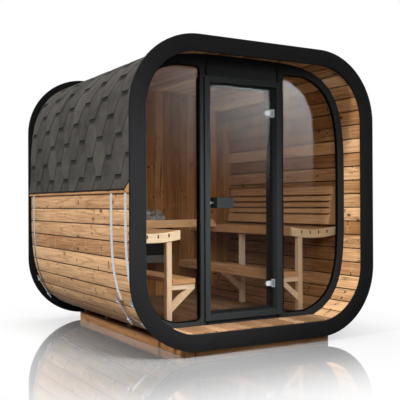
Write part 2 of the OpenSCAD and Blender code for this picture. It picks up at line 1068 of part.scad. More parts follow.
// Arm under the lower bench, housed for the fascia, and the brace from its end down to the leg
module bench_bracket(y) {
    arm_top = step_top - end_board_h;
    arm_foot = arm_top - arm_h;
    inner = leg_x - leg_w;
    // Length of the cut across each end of the sloping brace
    cut = brace_w * sqrt(2);
    difference() {
        box_between([step_x, y, arm_foot], [inner, y + leg_w, arm_top]);
        step_fascia();
    }
    between_y(y, y + leg_w)
        polygon([
            [step_x + brace_inset, arm_foot],
            [step_x + brace_inset + cut, arm_foot],
            [inner, arm_foot - brace_drop + cut],
            [inner, arm_foot - brace_drop]
        ]);
}

module bench_brackets() {
    color(pale_timber)
        both_sides()
            for (y = leg_ys)
                bench_bracket(y);
}

// ---------------------------------------------------------------- backrests

back_heights = [back_foot, back_narrow, back_narrow, back_narrow, back_head];
back_h = stacked(back_heights, back_gap, len(back_heights)) - back_gap;
back_y1 = rear_wall_y0 - back_end_gap;

function stacked(list, gap, count) =
    count == 0 ? 0 : list[count - 1] + gap + stacked(list, gap, count - 1);

module leaning() {
    translate([bow_a - back_wall_gap, 0, bench_top + back_rise])
        rotate([0, back_lean, 0])
            children();
}

module backrests() {
    color(pale_timber)
        both_sides()
            leaning()
                for (i = [0 : 1 : len(back_heights) - 1])
                    translate([0, bench_y0, stacked(back_heights, back_gap, i)])
                        cube([back_t, back_y1 - bench_y0, back_heights[i]]);
}

// Uprights behind the slats, let into the line of the wall
module backrest_uprights() {
    span = back_y1 - bench_y0 - upright_w;
    color(pale_timber)
        both_sides()
            for (i = [0 : 1 : upright_count - 1]) {
                y0 = bench_y0 + span * i / (upright_count - 1);
                intersection() {
                    translate([0, y0, 0])
                        leaning()
                            translate([back_t, 0, 0])
                                cube([bow_a, upright_w, back_h]);
                    between_y(y0, y0 + upright_w)
                        shell_outline(0);
                }
            }
}

// ---------------------------------------------------------------- heater

heater_y1 = rear_wall_y0;
heater_y0 = heater_y1 - heater_d;
heater_z0 = base_drop + heater_z;
heater_z1 = heater_z0 + heater_h;

module heater_body() {
    color(heater_black)
        difference() {
            box_between(
                [-heater_w / 2, heater_y0, heater_z0],
                [heater_w / 2, heater_y1, heater_z1]
            );
            box_between(
                [heater_shell_t - heater_w / 2, heater_y0 + heater_shell_t, heater_z1 - tray_d],
                [heater_w / 2 - heater_shell_t, heater_y1 - heater_shell_t, heater_z1 + tray_d]
            );
        }
}

// Heap of stones as a stepped mound in the tray
module heater_stones() {
    color(stone_grey)
        for (i = [0 : 1 : stone_steps - 1]) {
            inset = heater_shell_t + seat_clear + i * stone_inset;
            box_between(
                [inset - heater_w / 2, heater_y0 + inset, heater_z1 - tray_d + seat_clear],
                [
                    heater_w / 2 - inset,
                    heater_y1 - inset,
                    heater_z1 + stones_h * (i + 1) / stone_steps
                ]
            );
        }
}

module heater_guard_rail() {
    y1 = heater_y0 - rail_gap;
    z0 = bench_top - rail_drop;
    shoulder = rail_h / 3;
    slope_w = rail_h / 2;
    color(pale_timber)
        between_y(y1 - rail_t, y1)
            polygon([
                [-bench_x, z0],
                [bench_x, z0],
                [bench_x, z0 + shoulder],
                [bench_x - slope_w, z0 + rail_h],
                [slope_w - bench_x, z0 + rail_h],
                [-bench_x, z0 + shoulder]
            ]);
}

base_sides();
base_cross_boards();
shell_floor();
shell_left();
shell_right();
shell_roof();
shell_corner_bottom_left();
shell_corner_bottom_right();
shell_corner_top_left();
shell_corner_top_right();
porch_deck();
cabin_floor();
floor_bearers();
front_ring_boards();
front_ring_corners();
rear_ring_boards();
rear_ring_corners();
front_wall_left();
front_wall_right();
front_wall_header();
front_wall_sill();
rear_wall();
window_left();
window_right();
door_jambs();
door_head();
door_threshold();
door_glass();
door_handles();
door_latch();
door_hinge_clamps();
door_hinge_plates();
roof_cover();
eave_battens();
hoop_bands();
hoop_rods();
upper_bench_left();
upper_bench_right();
upper_bench_ends();
lower_benches();
bench_legs();
bench_brackets();
backrests();
backrest_uprights();
heater_body();
heater_stones();
heater_guard_rail();
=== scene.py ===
# %% [markdown]
# The outdoor sauna, dressed
#
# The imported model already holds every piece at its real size, so this lesson only adds what the eye
# looks for: single boards, rounded edges, grain, knots, shingle tabs, threads and glass. The model
# could be rebuilt by hand, but a size that is read from the frame can never drift away from it.

import json
import math
from functools import partialmethod

import bpy
import numpy as np
from mathutils import Matrix, Vector


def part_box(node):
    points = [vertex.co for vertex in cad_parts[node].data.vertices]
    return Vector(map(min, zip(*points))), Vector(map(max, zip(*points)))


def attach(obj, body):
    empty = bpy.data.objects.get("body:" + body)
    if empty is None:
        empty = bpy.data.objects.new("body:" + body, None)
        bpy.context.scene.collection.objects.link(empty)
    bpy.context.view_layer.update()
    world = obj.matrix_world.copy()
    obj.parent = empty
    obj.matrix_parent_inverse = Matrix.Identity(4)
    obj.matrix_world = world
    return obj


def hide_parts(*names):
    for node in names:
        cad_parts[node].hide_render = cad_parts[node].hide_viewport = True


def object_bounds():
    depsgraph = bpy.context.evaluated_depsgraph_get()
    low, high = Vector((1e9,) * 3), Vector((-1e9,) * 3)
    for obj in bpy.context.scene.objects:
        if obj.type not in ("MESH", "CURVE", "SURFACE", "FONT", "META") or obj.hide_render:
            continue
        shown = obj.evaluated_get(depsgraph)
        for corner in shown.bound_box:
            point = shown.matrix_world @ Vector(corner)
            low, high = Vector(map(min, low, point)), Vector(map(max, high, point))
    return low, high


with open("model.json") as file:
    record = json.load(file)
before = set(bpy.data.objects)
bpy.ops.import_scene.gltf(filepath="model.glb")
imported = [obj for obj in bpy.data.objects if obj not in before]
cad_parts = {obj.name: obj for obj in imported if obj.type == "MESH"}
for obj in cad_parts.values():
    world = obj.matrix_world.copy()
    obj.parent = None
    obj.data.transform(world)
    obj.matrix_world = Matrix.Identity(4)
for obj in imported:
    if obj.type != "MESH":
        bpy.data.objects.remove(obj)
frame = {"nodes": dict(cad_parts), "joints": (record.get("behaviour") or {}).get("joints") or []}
cad_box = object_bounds()
nodes = frame["nodes"]
rng = np.random.default_rng(11)
WHITE = (1.0, 1.0, 1.0)


def corners(node):
    """Lowest and highest corner of a node, as two arrays of X, Y and Z in metres."""
    low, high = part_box(node)
    return np.array(low), np.array(high)


print("frame:", len(nodes), "nodes, box", [round(v, 3) for v in (*cad_box[0], *cad_box[1])])

# %% [markdown]
# The camera
#
# The building is looked at from the front left, a little above the middle of the door. A camera
# could be aimed with a Track To constraint, but its turn is written as three plain angles here, so
# that yaw, pitch and roll can each be read and changed.

# %% Camera
CAMERA_PLACE = (-3.15132, -5.57926, 1.09074)
CAMERA_YAW, CAMERA_PITCH, CAMERA_ROLL = (math.radians(a) for a in (30.332, 0.309, -0.238))
CAMERA_LENS, CAMERA_SENSOR = 65.11, 36


def aim(yaw, pitch, roll):
    """Rotation whose -Z looks along a yaw and a pitch, rolled about that line.

    ahead = (sin yaw cos pitch, cos yaw cos pitch, sin pitch)
    """
    level = math.cos(pitch)
    ahead = Vector((math.sin(yaw) * level, math.cos(yaw) * level, math.sin(pitch)))
    side = Vector((math.cos(yaw), -math.sin(yaw), 0))
    up = side.cross(ahead)
    right = side * math.cos(roll) + up * math.sin(roll)
    upright = up * math.cos(roll) - side * math.sin(roll)
    return Matrix((right, upright, -ahead)).transposed().to_4x4()


camera_data = bpy.data.cameras.new("camera")
camera_data.lens = CAMERA_LENS
camera_data.sensor_width = CAMERA_SENSOR
camera = bpy.data.objects.new("camera", camera_data)
bpy.context.scene.collection.objects.link(camera)
camera.matrix_world = Matrix.Translation(CAMERA_PLACE) @ aim(CAMERA_YAW, CAMERA_PITCH, CAMERA_ROLL)
bpy.context.scene.camera = camera
print("camera:", CAMERA_PLACE, "lens", CAMERA_LENS)

# %% [markdown]
# Shader sketches
#
# Every finish below is a small node tree. Nodes could be placed and wired one by one, which takes
# many lines for each, so a short class does the wiring: a call names a node, sets its numbers and
# plugs in the sockets that it is given.


# %% A short way to write node trees
# Every finished material, by its name
finishes = {}


class Finish:
    """A finish and the calls that add nodes to it. A call returns the new node's first output."""

    def __init__(self, name, owner=None):
        self.name = name
        self.owner = owner or bpy.data.materials.new(name)
        self.owner.use_nodes = True
        self.tree = self.owner.node_tree
        self.tree.nodes.clear()

    def put(self, socket, value):
        if isinstance(value, bpy.types.NodeSocket):
            self.tree.links.new(value, socket)
        elif isinstance(value, tuple) and socket.type == "RGBA":
            socket.default_value = (*value[:3], 1.0)
        else:
            socket.default_value = value

    def node(self, kind, sockets, **settings):
        made = self.tree.nodes.new("ShaderNode" + kind)
        for key, value in settings.items():
            setattr(made, key, value)
        for key, value in sockets.items():
            self.put(made.inputs[key], value)
        return made

    def work(self, operation, *values, clamp=False):
        """One Math node. `clamp` holds its result between 0 and 1."""
        sockets = dict(enumerate(values))
        return self.node("Math", sockets, operation=operation, use_clamp=clamp).outputs[0]

    def chain(self, operation, first, *others, clamp=False):
        """One Math node after another, from left to right. Only the last result is clamped."""
        for k, value in enumerate(others, 1):
            first = self.work(operation, first, value, clamp=clamp and k == len(others))
        return first

    plus = partialmethod(chain, "ADD")
    minus = partialmethod(chain, "SUBTRACT")
    times = partialmethod(chain, "MULTIPLY")
    larger = partialmethod(chain, "MAXIMUM")

    def vector(self, operation, *values, output=0):
        sockets = dict(enumerate(values))
        return self.node("VectorMath", sockets, operation=operation).outputs[output]

    def split(self, vector):
        return self.node("SeparateXYZ", {0: vector}).outputs

    def attribute(self, name, output):
        return self.node("Attribute", {}, attribute_name=name).outputs[output]

    def object_place(self):
        return self.node("TexCoord", {}).outputs["Object"]

    def scaled(self, vector, scale, shift=(0, 0, 0)):
        sockets = {"Vector": vector, "Scale": scale, "Location": shift}
        return self.node("Mapping", sockets).outputs[0]

    def noise(self, vector, scale, detail, rough=0.55):
        sockets = {"Vector": vector, "Scale": scale, "Detail": detail, "Roughness": rough}
        return self.node("TexNoise", sockets).outputs[0]

    def long_noise(self, vector, along, across, detail, rough=0.55):
        """Noise drawn out along a board, with so many waves to a metre along and across it."""
        return self.noise(self.scaled(vector, (along, across, across)), 1.0, detail, rough)

    def cells(self, vector):
        return self.node("TexVoronoi", {"Vector": vector, "Scale": 1.0, "Randomness": 1.0}).outputs

    def remap(self, value, low, high, to_low=0.0, to_high=1.0, smooth=False):
        sockets = {"Value": value, "From Min": low, "From Max": high, "To Min": to_low,
                   "To Max": to_high}
        kind = "SMOOTHSTEP" if smooth else "LINEAR"
        return self.node("MapRange", sockets, interpolation_type=kind).outputs[0]

    def blend(self, share, first, second):
        made = self.node("Mix", {}, data_type="RGBA", blend_type="MIX")
        self.put(made.inputs[0], share)
        self.put(made.inputs[6], first)
        self.put(made.inputs[7], second)
        return made.outputs[2]

    def bump(self, height, depth, strength):
        sockets = {"Height": height, "Distance": depth, "Strength": strength}
        return self.node("Bump", sockets).outputs[0]

    def principled(self, **sockets):
        named = {key.replace("_", " "): value for key, value in sockets.items()}
        return self.node("BsdfPrincipled", named).outputs[0]

    def rays(self, first, *others):
        """1 for a ray of any of the named kinds, and 0 for the rest."""
        path = self.node("LightPath", {}).outputs
        return self.larger(path[first], *(path[kind] for kind in others))

    def either(self, share, first, second):
        return self.node("MixShader", {0: share, 1: first, 2: second}).outputs[0]

    def show(self, shader):
        output = self.node("OutputMaterial", {"Surface": shader})
        output.is_active_output = True
        finishes[self.name] = self.owner
        return self.owner


def shade(rgb, level=1.0):
    """`level` times the linear colour of the 0 to 255 colour on a screen, by the sRGB curve."""
    c = np.array(rgb) / 255
    return tuple((level * np.where(c <= 0.04045, c / 12.92, ((c + 0.055) / 1.055) ** 2.4)).tolist())


def growth_lines(f, swell, count, width):
    """Narrow troughs of a wave that runs to and fro `count` times while the swell goes 0 to 1."""
    return f.remap(f.work("PINGPONG", f.times(swell, count), 1.0), width, 0.0, smooth=True)


# %% [markdown]
# Timber
#
# Thermally treated softwood is warm tan. It has long fine streaks, wide contour-like bands where a
# growth ring lies flat, and knots, which in narrow boards are often cut lengthwise and cross the
# board as a short chain of dark marks. An image would repeat, and one pattern over the whole
# building would run on from board to board. So every board carries two attributes of its own:
# `grain`, its place along, across and through the board with a random shift, and `tone`, one
# random number for the whole board. A third attribute paints shade into the grooves between the
# staves, the darker the deeper into the groove.


# %% Timber finish
TIMBER_ROUGH = 0.6


def timber(name, dark, light, knots=1.0, figure=1.0, tones=0.3, deep=(52, 28, 15), packed=False):
    """Tan board: streaks, growth lines, wandering veins, round knots and knots cut lengthwise.

    light share = 0.5 + sum of gain * (noise - 0.5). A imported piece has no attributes, so its grain
    runs along the X of its Object coordinates.
    """
    f = Finish(name)
    if packed:
        grain = f.object_place()
        tone = f.long_noise(grain, 0.4, 9, 0.0)
    else:
        grain, tone = f.attribute("grain", "Vector"), f.attribute("tone", "Fac")
    wander = f.minus(f.long_noise(grain, 5.0, 9.0, 2.0), 0.5)
    sway = f.node("CombineXYZ", {0: f.times(wander, 0.05), 1: f.times(wander, 0.012)}).outputs[0]
    bent = f.vector("ADD", grain, sway)
    streaks = f.long_noise(grain, 2.6, 120.0, 3.0, 0.65)
    fibre = f.long_noise(grain, 16.0, 700.0, 2.0, 0.6)
    cloud = f.long_noise(grain, 1.1, 4.0, 2.0)
    share = 0.5
    for source, gain in ((streaks, 2.0), (fibre, 0.7), (cloud, 1.0), (tone, 2 * tones)):
        share = f.plus(share, f.times(f.minus(source, 0.5), gain))
    colour = f.blend(f.larger(share, 0.0, clamp=True), shade(dark), shade(light))
    growth = growth_lines(f, f.long_noise(bent, 0.6, 10.0, 1.0, 0.5), 17.0, 0.42)
    colour = f.blend(f.times(growth, 0.38 * figure), colour, shade(dark, 0.72))
    path = f.work("ABSOLUTE", f.minus(f.long_noise(bent, 1.1, 13.0, 2.0), 0.5))
    vein = f.times(f.remap(path, 0.012, 0.003), f.remap(cloud, 0.52, 0.6), clamp=True)
    colour = f.blend(f.times(vein, 0.6 * figure), colour, shade(deep))
    # Round knots: some of the cells are chosen, and have a dark heart inside a wider halo
    knot = f.cells(f.scaled(bent, (5.2, 8.5, 8.5)))
    chosen = f.remap(knot["Color"], 0.6, 0.64)
    heart = f.times(f.remap(knot["Distance"], 0.13, 0.08), chosen, clamp=True)
    halo = f.times(f.remap(knot["Distance"], 0.34, 0.12), chosen, clamp=True)
    # Knots cut lengthwise: a row of dashes across the board, beside which the timber is pale
    spike_place = f.scaled(bent, (2.3, 0.9, 0.9), (0.37, 0.2, 0.6))
    spikes = f.cells(spike_place)
    near = f.work("ABSOLUTE", f.split(f.vector("SUBTRACT", spike_place, spikes["Position"]))[0])
    dashes = f.remap(f.long_noise(grain, 9.0, 38.0, 1.0), 0.53, 0.58)
    rare = f.remap(spikes["Color"], 0.12, 0.17)
    spike = f.times(f.remap(near, 0.026, 0.014), dashes, rare, clamp=True)
    pale = f.remap(near, 0.055, 0.012, 0.0, 0.35)
    colour = f.blend(f.times(halo, 0.42 * knots), colour, shade(dark))
    colour = f.blend(f.times(pale, 0.6 * knots), colour, shade(light))
    mark = f.times(f.larger(heart, spike), 0.9 * knots, clamp=True)
    colour = f.blend(mark, colour, shade(deep))
    # Painted shade in the grooves between the staves, the darker the deeper into a groove
    if not packed:
        colour = f.blend(f.attribute("seam", "Fac"), colour, shade(deep, 0.4))
    relief = f.minus(streaks, f.times(growth, 0.3), f.times(mark, 0.8))
    roughness = f.remap(streaks, 0.3, 0.7, TIMBER_ROUGH - 0.06, TIMBER_ROUGH + 0.1)
    return f.show(f.principled(Base_Color=colour, Roughness=roughness, Specular_IOR_Level=0.15,
                               Normal=f.bump(relief, 0.0008, 0.5)))


timber("stave_timber", (140, 96, 58), (212, 170, 126), tones=0.55)
timber("base_timber", (132, 88, 51), (182, 137, 92), knots=0.8)
timber("cradle_timber", (120, 80, 46), (168, 122, 80), packed=True)
timber("bearer_timber", (140, 98, 62), (190, 148, 104), packed=True)
timber("floor_timber", (116, 85, 58), (172, 140, 108), knots=0.7, tones=0.7)
timber("bench_timber", (192, 146, 104), (230, 194, 152), knots=0.25, figure=0.5)
# A paler copy of the bench timber: painted light for the bench end plates, legs and brackets
timber("end_timber", (226, 202, 172), (250, 240, 222), knots=0.15, figure=0.5)
# A darker copy of the stave timber: painted shade for the dim lining of the rear wall
timber("lining_timber", (134, 90, 50), (190, 142, 92), tones=0.45, deep=(38, 22, 12))
timber("plug_timber", (58, 32, 18), (88, 52, 30), knots=0.0)
print("timber finishes:", len(finishes))

# %% [markdown]
# Paint, metal, stone, shingle and glass
#
# The black boards are stained rather than painted thick, so the grain shows faintly as a change of
# gloss and relief. Metal gets its life from roughness, not from colour. Shingles are bitumen with
# slate granules: speckled close up, mottled from further away, with a shadow band printed just
# below where the next tab ends.


# %% Stained, painted and mineral finishes
def stained(name, colour, rough, contrast=0.14):
    """Dark stain: the grain's streaks move the colour, the roughness and the relief a little."""
    f = Finish(name)
    grain, tone = f.attribute("grain", "Vector"), f.attribute("tone", "Fac")
    growth = growth_lines(f, f.long_noise(grain, 0.8, 9.0, 1.5), 14.0, 0.4)
    streaks = f.long_noise(grain, 4.0, 140.0, 3.0, 0.6)
    cells = f.cells(f.scaled(grain, (2.2, 7.0, 7.0)))
    heart, chosen = f.remap(cells["Distance"], 0.12, 0.05), f.remap(cells["Color"], 0.6, 0.65)
    level = f.plus(streaks, f.times(f.minus(tone, 0.5), 0.35))
    level = f.minus(level, f.times(growth, 0.3))
    mixed = f.blend(f.remap(level, 0.15, 0.85), shade(colour, 1 - contrast),
                    shade(colour, 1 + contrast))
    knot = f.times(heart, chosen, clamp=True)
    mixed = f.blend(f.times(knot, 0.5), mixed, shade(colour, 0.35))
    roughness = f.remap(level, 0.2, 0.9, rough - 0.05, rough + 0.06)
    return f.show(f.principled(Base_Color=mixed, Roughness=roughness, Specular_IOR_Level=0.02,
                               Normal=f.bump(level, 0.0003, 0.4)))


def metal(name, colour, rough, spread=0.08, scale=60.0, metallic=1.0, gloss=0.5):
    """Metal or smooth paint whose roughness and relief wander with a fine noise."""
    f = Finish(name)
    place = f.object_place()
    cloud, fine = f.noise(place, scale, 3.0), f.noise(place, scale * 9, 2.0)
    tint = f.blend(cloud, shade(colour, 0.82), shade(colour))
    return f.show(f.principled(Base_Color=tint, Metallic=metallic, Specular_IOR_Level=gloss,
                               Roughness=f.remap(cloud, 0.3, 0.7, rough - spread, rough + spread),
                               Normal=f.bump(fine, 0.0002, 0.4)))


def mineral(name, dark, light, scale):
    """Speckled stone: two noises of different size mixed, with relief from both."""
    f = Finish(name)
    place, tone = f.object_place(), f.attribute("tone", "Fac")
    coarse, fine = f.noise(place, scale, 4.0), f.noise(place, scale * 12, 2.0, 0.7)
    level = f.plus(f.times(coarse, 0.5), f.times(fine, 0.4), f.times(tone, 0.45))
    mixed = f.blend(f.remap(level, 0.35, 0.95), shade(dark), shade(light))
    return f.show(f.principled(Base_Color=mixed, Roughness=0.85,
                               Normal=f.bump(level, 0.004, 0.8)))


def glazing(name, tint, lamp_tint):
    """Tinted, coated glass: a smooth sheet for the eye, and a darker clear tint for lamp light."""
    f = Finish(name)
    sheet = f.principled(Base_Color=tint, Transmission_Weight=1.0, IOR=1.12, Roughness=0.0)
    passed = f.blend(f.rays("Is Shadow Ray"), tint, lamp_tint)
    clear = f.node("BsdfTransparent", {"Color": passed}).outputs[0]
    return f.show(f.either(f.rays("Is Shadow Ray", "Is Diffuse Ray"), sheet, clear))


stained("ring_paint", (24, 24, 25), 0.55)
stained("wall_paint", (35, 36, 36), 0.5, 0.1)
stained("frame_paint", (37, 39, 40), 0.42, 0.08)
metal("seal_rubber", (5, 5, 5), 0.7, metallic=0.0, gloss=0.05)
metal("handle_grey", (33, 35, 36), 0.45, 0.05, 40.0, 0.0, gloss=0.12)
metal("fitting_chrome", (236, 238, 241), 0.34, 0.05)
metal("galvanised_steel", (202, 206, 210), 0.3, 0.07, 35.0)
metal("heater_black", (16, 16, 17), 0.5, 0.08, 50.0, 0.0, gloss=0.1)
metal("heater_cowl", (96, 100, 104), 0.45, 0.06, 50.0, 0.0, gloss=0.2)
metal("rod_steel", (168, 170, 172), 0.34, 0.07, 35.0)
mineral("heater_stone", (60, 60, 62), (205, 203, 200), 30.0)
glazing("window_glass", (0.95, 0.90, 0.83), (0.46, 0.45, 0.44))

# %% Shingle finish
TAB, TAB_FOOT, TAB_SHOULDER = 0.353, 0.055, 0.1215
EXPOSURE, BAND_H, EAVE_TRIM = 0.145, 0.038, 0.032
SHINGLE_DARK, SHINGLE_LIGHT = (35, 33, 31), (87, 84, 80)


def slate(name):
    """Granules as fine speckle, clouds, the band printed above the tabs, and painted shadow lines
    along the slanting edges of the tabs.

    `grain` is (distance along in tabs, distance up in metres, course): half the width of a tab at a
    height u is FOOT + (SHOULDER - FOOT) * u / EXPOSURE, and a band shows where a foot ends over it.
    """
    f = Finish(name)
    place = f.object_place()
    along, up, row = f.split(f.attribute("grain", "Vector"))
    speck, cloud = f.noise(place, 420.0, 2.0, 0.8), f.noise(place, 7.0, 4.0, 0.6)
    own = f.node("CombineXYZ", {0: f.work("FLOOR", f.plus(along, 0.5)), 1: row}).outputs[0]
    tab_tone = f.node("TexWhiteNoise", {"Vector": own}).outputs["Value"]
    level = f.plus(f.times(speck, 0.75), f.times(cloud, 0.7), f.times(f.minus(tab_tone, 0.5), 0.22))
    body = f.blend(f.remap(level, 0.42, 1.05), shade(SHINGLE_DARK), shade(SHINGLE_LIGHT))
    frayed = f.plus(up, f.times(f.minus(f.noise(place, 110.0, 2.0), 0.5), 0.022))

    def off_middle(phase):
        turn = f.work("FRACT", f.plus(along, 0.5 + phase))
        return f.times(f.work("ABSOLUTE", f.minus(turn, 0.5)), TAB)

    # Painted shadow: a thin dark line beside a slanting tab edge
    def edge(phase, foot):
        half = f.remap(up, foot, foot + EXPOSURE, TAB_FOOT, TAB_SHOULDER)
        away = f.work("ABSOLUTE", f.minus(off_middle(phase), half))
        inside = f.remap(up, foot + EXPOSURE + 0.004, foot + EXPOSURE)
        return f.times(f.remap(away, 0.007, 0.003), inside, clamp=True)

    inside = f.remap(off_middle(0.0), TAB_FOOT, TAB_FOOT - 0.004)
    top = 2 * EXPOSURE
    band = top - BAND_H
    height = f.remap(frayed, band, top, 0.5, 1.0)
    cut = f.times(f.remap(frayed, band - 0.002, band + 0.002),
                  f.remap(frayed, top + 0.03, top + 0.02))
    shown = f.times(inside, height, cut, clamp=True)
    above = f.plus(up, f.times(f.work("MINIMUM", row, 0.0), EXPOSURE))
    eave = f.times(f.remap(above, EAVE_TRIM + 0.012, EAVE_TRIM + 0.008), f.remap(row, 0.6, 0.4))
    # Painted shadow lines: on a tab's own rim, and on the course below beside the tab above
    lines = f.larger(edge(0.0, 0.0), edge(0.5, EXPOSURE))
    colour = f.blend(f.times(lines, 0.3), body, shade((13, 13, 13)))
    colour = f.blend(f.times(f.larger(shown, eave), 0.9), colour, shade((9, 9, 9)))
    return f.show(f.principled(Base_Color=colour, Roughness=0.92, Specular_IOR_Level=0.12,
                               Normal=f.bump(speck, 0.0015, 0.7)))


slate("shingle")
print("all finishes:", len(finishes))

# %% [markdown]
# Meshes from arrays
#
# Boards, bars and plates are all one kind of surface: a closed profile carried along a path. Its
# points are a grid with one parameter round the profile and one along the path, so whole arrays
# of like solids can be worked out at once, with no loop over vertices. `Solids` gathers them and
# writes one mesh. A Bevel modifier then rounds the edges, which is what makes timber catch light.

# %% Profiles, paths and the gatherer
BOX_PICK = np.array([[0, 0, 0], [1, 0, 0], [1, 1, 0], [0, 1, 0],
                     [0, 0, 1], [1, 0, 1], [1, 1, 1], [0, 1, 1]])
BOX_FACES = [np.array([[0, 3, 2, 1], [4, 5, 6, 7], [0, 1, 5, 4], [1, 2, 6, 5], [2, 3, 7, 6],
                       [3, 0, 4, 7]])]
X_AXIS, Y_AXIS, Z_AXIS = np.eye(3)


def in_depth(place, y):
    """Points of X, Y and Z from places (..., 2) of X and Z and the depths y that go with them."""
    return np.stack([place[..., 0], np.broadcast_to(y, place.shape[:-1]), place[..., 1]], -1)


def run_length(line):
    """Distance along a line of points, from its first one."""
    return np.concatenate([[0], np.cumsum(np.linalg.norm(np.diff(line, axis=0), axis=1))])


def mirrored(points, faces):
    """The same solid on the left: X changes sign and each face turns round, to point out again."""
    return points * np.array([-1, 1, 1]), [face[:, ::-1] for face in faces]


def boxes(low, high):
    """Eight corners of each of many boxes: low + pick * (high - low)."""
    low, high = np.broadcast_arrays(np.asarray(low, float), np.asarray(high, float))
    return low[..., None, :] + BOX_PICK * (high - low)[..., None, :]


def lofted(stations, points, closed=False, capped=True):
    """Faces of a grid of stations by profile points: quads between stations, and two end caps."""
    k = np.arange(stations if closed else stations - 1)[:, None]
    p = np.arange(points)[None, :]
    after, beside = (k + 1) % stations, (p + 1) % points
    quads = np.stack([k * points + p, after * points + p,
                      after * points + beside, k * points + beside], -1)
    faces = [quads.reshape(-1, 4)]
    if capped and not closed:
        first = np.arange(points)[None, :]
        last = (stations - 1) * points + np.arange(points)[None, ::-1]
        faces += [first, last]
    return faces


def prism(outline, y0, y1):
    """Outlines (..., n, 2) of X and Z, counter-clockwise from the front, between two depths."""
    outline = np.asarray(outline, float)
    flat = in_depth(outline, 0.0)
    y0, y1 = (np.asarray(y, float)[..., None, None] * Y_AXIS for y in (y0, y1))
    return np.concatenate([flat + y0, flat + y1], -2), lofted(2, outline.shape[-2])


def rounded_rectangle(width, height, radius, steps=3):
    """Counter-clockwise outline about its middle: corner centre plus radius times unit circle."""
    turn = np.linspace(0, np.pi / 2, steps)
    angle = (np.arange(4)[:, None] * np.pi / 2 + turn).ravel()
    sign = np.repeat([[1, 1], [-1, 1], [-1, -1], [1, -1]], steps, 0)
    centre = sign * (np.array([width, height]) / 2 - radius)
    return centre + radius * np.stack([np.cos(angle), np.sin(angle)], -1)


class Solids:
    """Gathers arrays of like solids, with a random tone and grain shift for each, into one mesh."""

    def __init__(self):
        self.points, self.faces, self.tones, self.seams, self.grains = [], [], [], [], []
        self.total = 0

    def add(self, points, faces, along=X_AXIS, grain=None, seam=0.0, scatter=40.0):
        """The grain's first axis lies along the board, unless the grain itself is given."""
        points = np.asarray(points, float)
        points = points.reshape(-1, *points.shape[-2:])
        many, each = points.shape[:2]
        starts = self.total + each * np.arange(many)
        self.faces += [(starts[:, None, None] + face).reshape(-1, face.shape[-1]) for face in faces]
        if grain is None:
            across = np.roll(along, 1)
            basis = np.stack([along, across, np.cross(along, across)])
            grain = points @ basis.T
        grain = np.broadcast_to(grain, points.shape) + rng.uniform(0, 1, (many, 1, 3)) * scatter
        self.points.append(points.reshape(-1, 3))
        self.grains.append(grain.reshape(-1, 3))
        self.tones.append(np.repeat(rng.random(many), each))
        # Per point, how much shade is painted into a stave's groove, and 0 on other solids
        self.seams.append(np.broadcast_to(seam, (many, each)).ravel())
        self.total += many * each
        return self

    def both(self, points, faces, along=X_AXIS):
        """Adds a solid on the right, and then its mirror image on the left."""
        return self.add(points, faces, along).add(*mirrored(points, faces), along)

    def piece(self, name, slot, replaces=(), body="building", finish=None, bevel=0.0, segments=2,
              sharp=35):
        """One mesh object that rides on a body, with its edges rounded by a live Bevel.

        Its finish is named like its slot, unless it has one of its own.
        """
        mesh = bpy.data.meshes.new(name)
        points = np.concatenate(self.points)
        sizes = np.concatenate([np.full(len(f), f.shape[1]) for f in self.faces])
        loops = np.concatenate([f.ravel() for f in self.faces])
        mesh.vertices.add(len(points))
        mesh.vertices.foreach_set("co", points.ravel())
        mesh.loops.add(len(loops))
        mesh.loops.foreach_set("vertex_index", loops)
        mesh.polygons.add(len(sizes))
        mesh.polygons.foreach_set("loop_start", np.concatenate([[0], np.cumsum(sizes)[:-1]]))
        mesh.update(calc_edges=True)
        mesh.polygons.foreach_set("use_smooth", np.ones(len(sizes), bool))
        for label, kind, key, values in (("tone", "FLOAT", "value", self.tones),
                                         ("seam", "FLOAT", "value", self.seams),
                                         ("grain", "FLOAT_VECTOR", "vector", self.grains)):
            layer = mesh.attributes.new(label, kind, "POINT")
            layer.data.foreach_set(key, np.concatenate(values).ravel())
        mesh.set_sharp_from_angle(angle=math.radians(sharp))
        mesh.materials.append(finishes[finish or slot])
        made = bpy.data.objects.new(name, mesh)
        bpy.context.scene.collection.objects.link(made)
        if bevel:
            edge = made.modifiers.new("rounded edges", "BEVEL")
            edge.width, edge.segments, edge.limit_method = bevel, segments, "ANGLE"
            edge.angle_limit, edge.harden_normals = math.radians(28), True
        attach(made, body)
        if replaces:
            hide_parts(*replaces)
        print(f"{name}: {len(points)} points, {len(sizes)} faces")
        return made


# %% [markdown]
# The bowed outline
#
# The shell is a rounded square that bows outwards on all sides: a superellipse. Its staves all
# have the same cover, so their joints lie at equal steps of arc length. The formula and the steps
# are repeated from the part's source, and its half axes are read from the rear wall.

# %% Outline of the shell
BOW_POWER = 4
STAVES = 64
wall_low, wall_high = corners("rear_wall")
half_w, half_h = wall_high[0], (wall_high[2] - wall_low[2]) / 2
mid_z = (wall_high[2] + wall_low[2]) / 2
shell_y0, shell_y1 = corners("shell_roof")[0][1], corners("shell_roof")[1][1]
stave_t = corners("shell_right")[1][0] - half_w


def bow_point(angle, out=0.0):
    """X and Z at a polar angle, `out` metres outside (|x| / a)^n + (|z| / b)^n = 1."""
    c, s = np.cos(angle), np.sin(angle)
    reach = (np.abs(c) / half_w) ** BOW_POWER + (np.abs(s) / half_h) ** BOW_POWER
    reach = reach ** (-1 / BOW_POWER)
    x, z = reach * c, reach * s
    slope = np.stack([np.sign(x) * (np.abs(x) / half_w) ** (BOW_POWER - 1) / half_w,
                      np.sign(z) * (np.abs(z) / half_h) ** (BOW_POWER - 1) / half_h], -1)
    normal = slope / np.linalg.norm(slope, axis=-1, keepdims=True)
    return np.stack([x, z + mid_z], -1) + np.asarray(out)[..., None] * normal


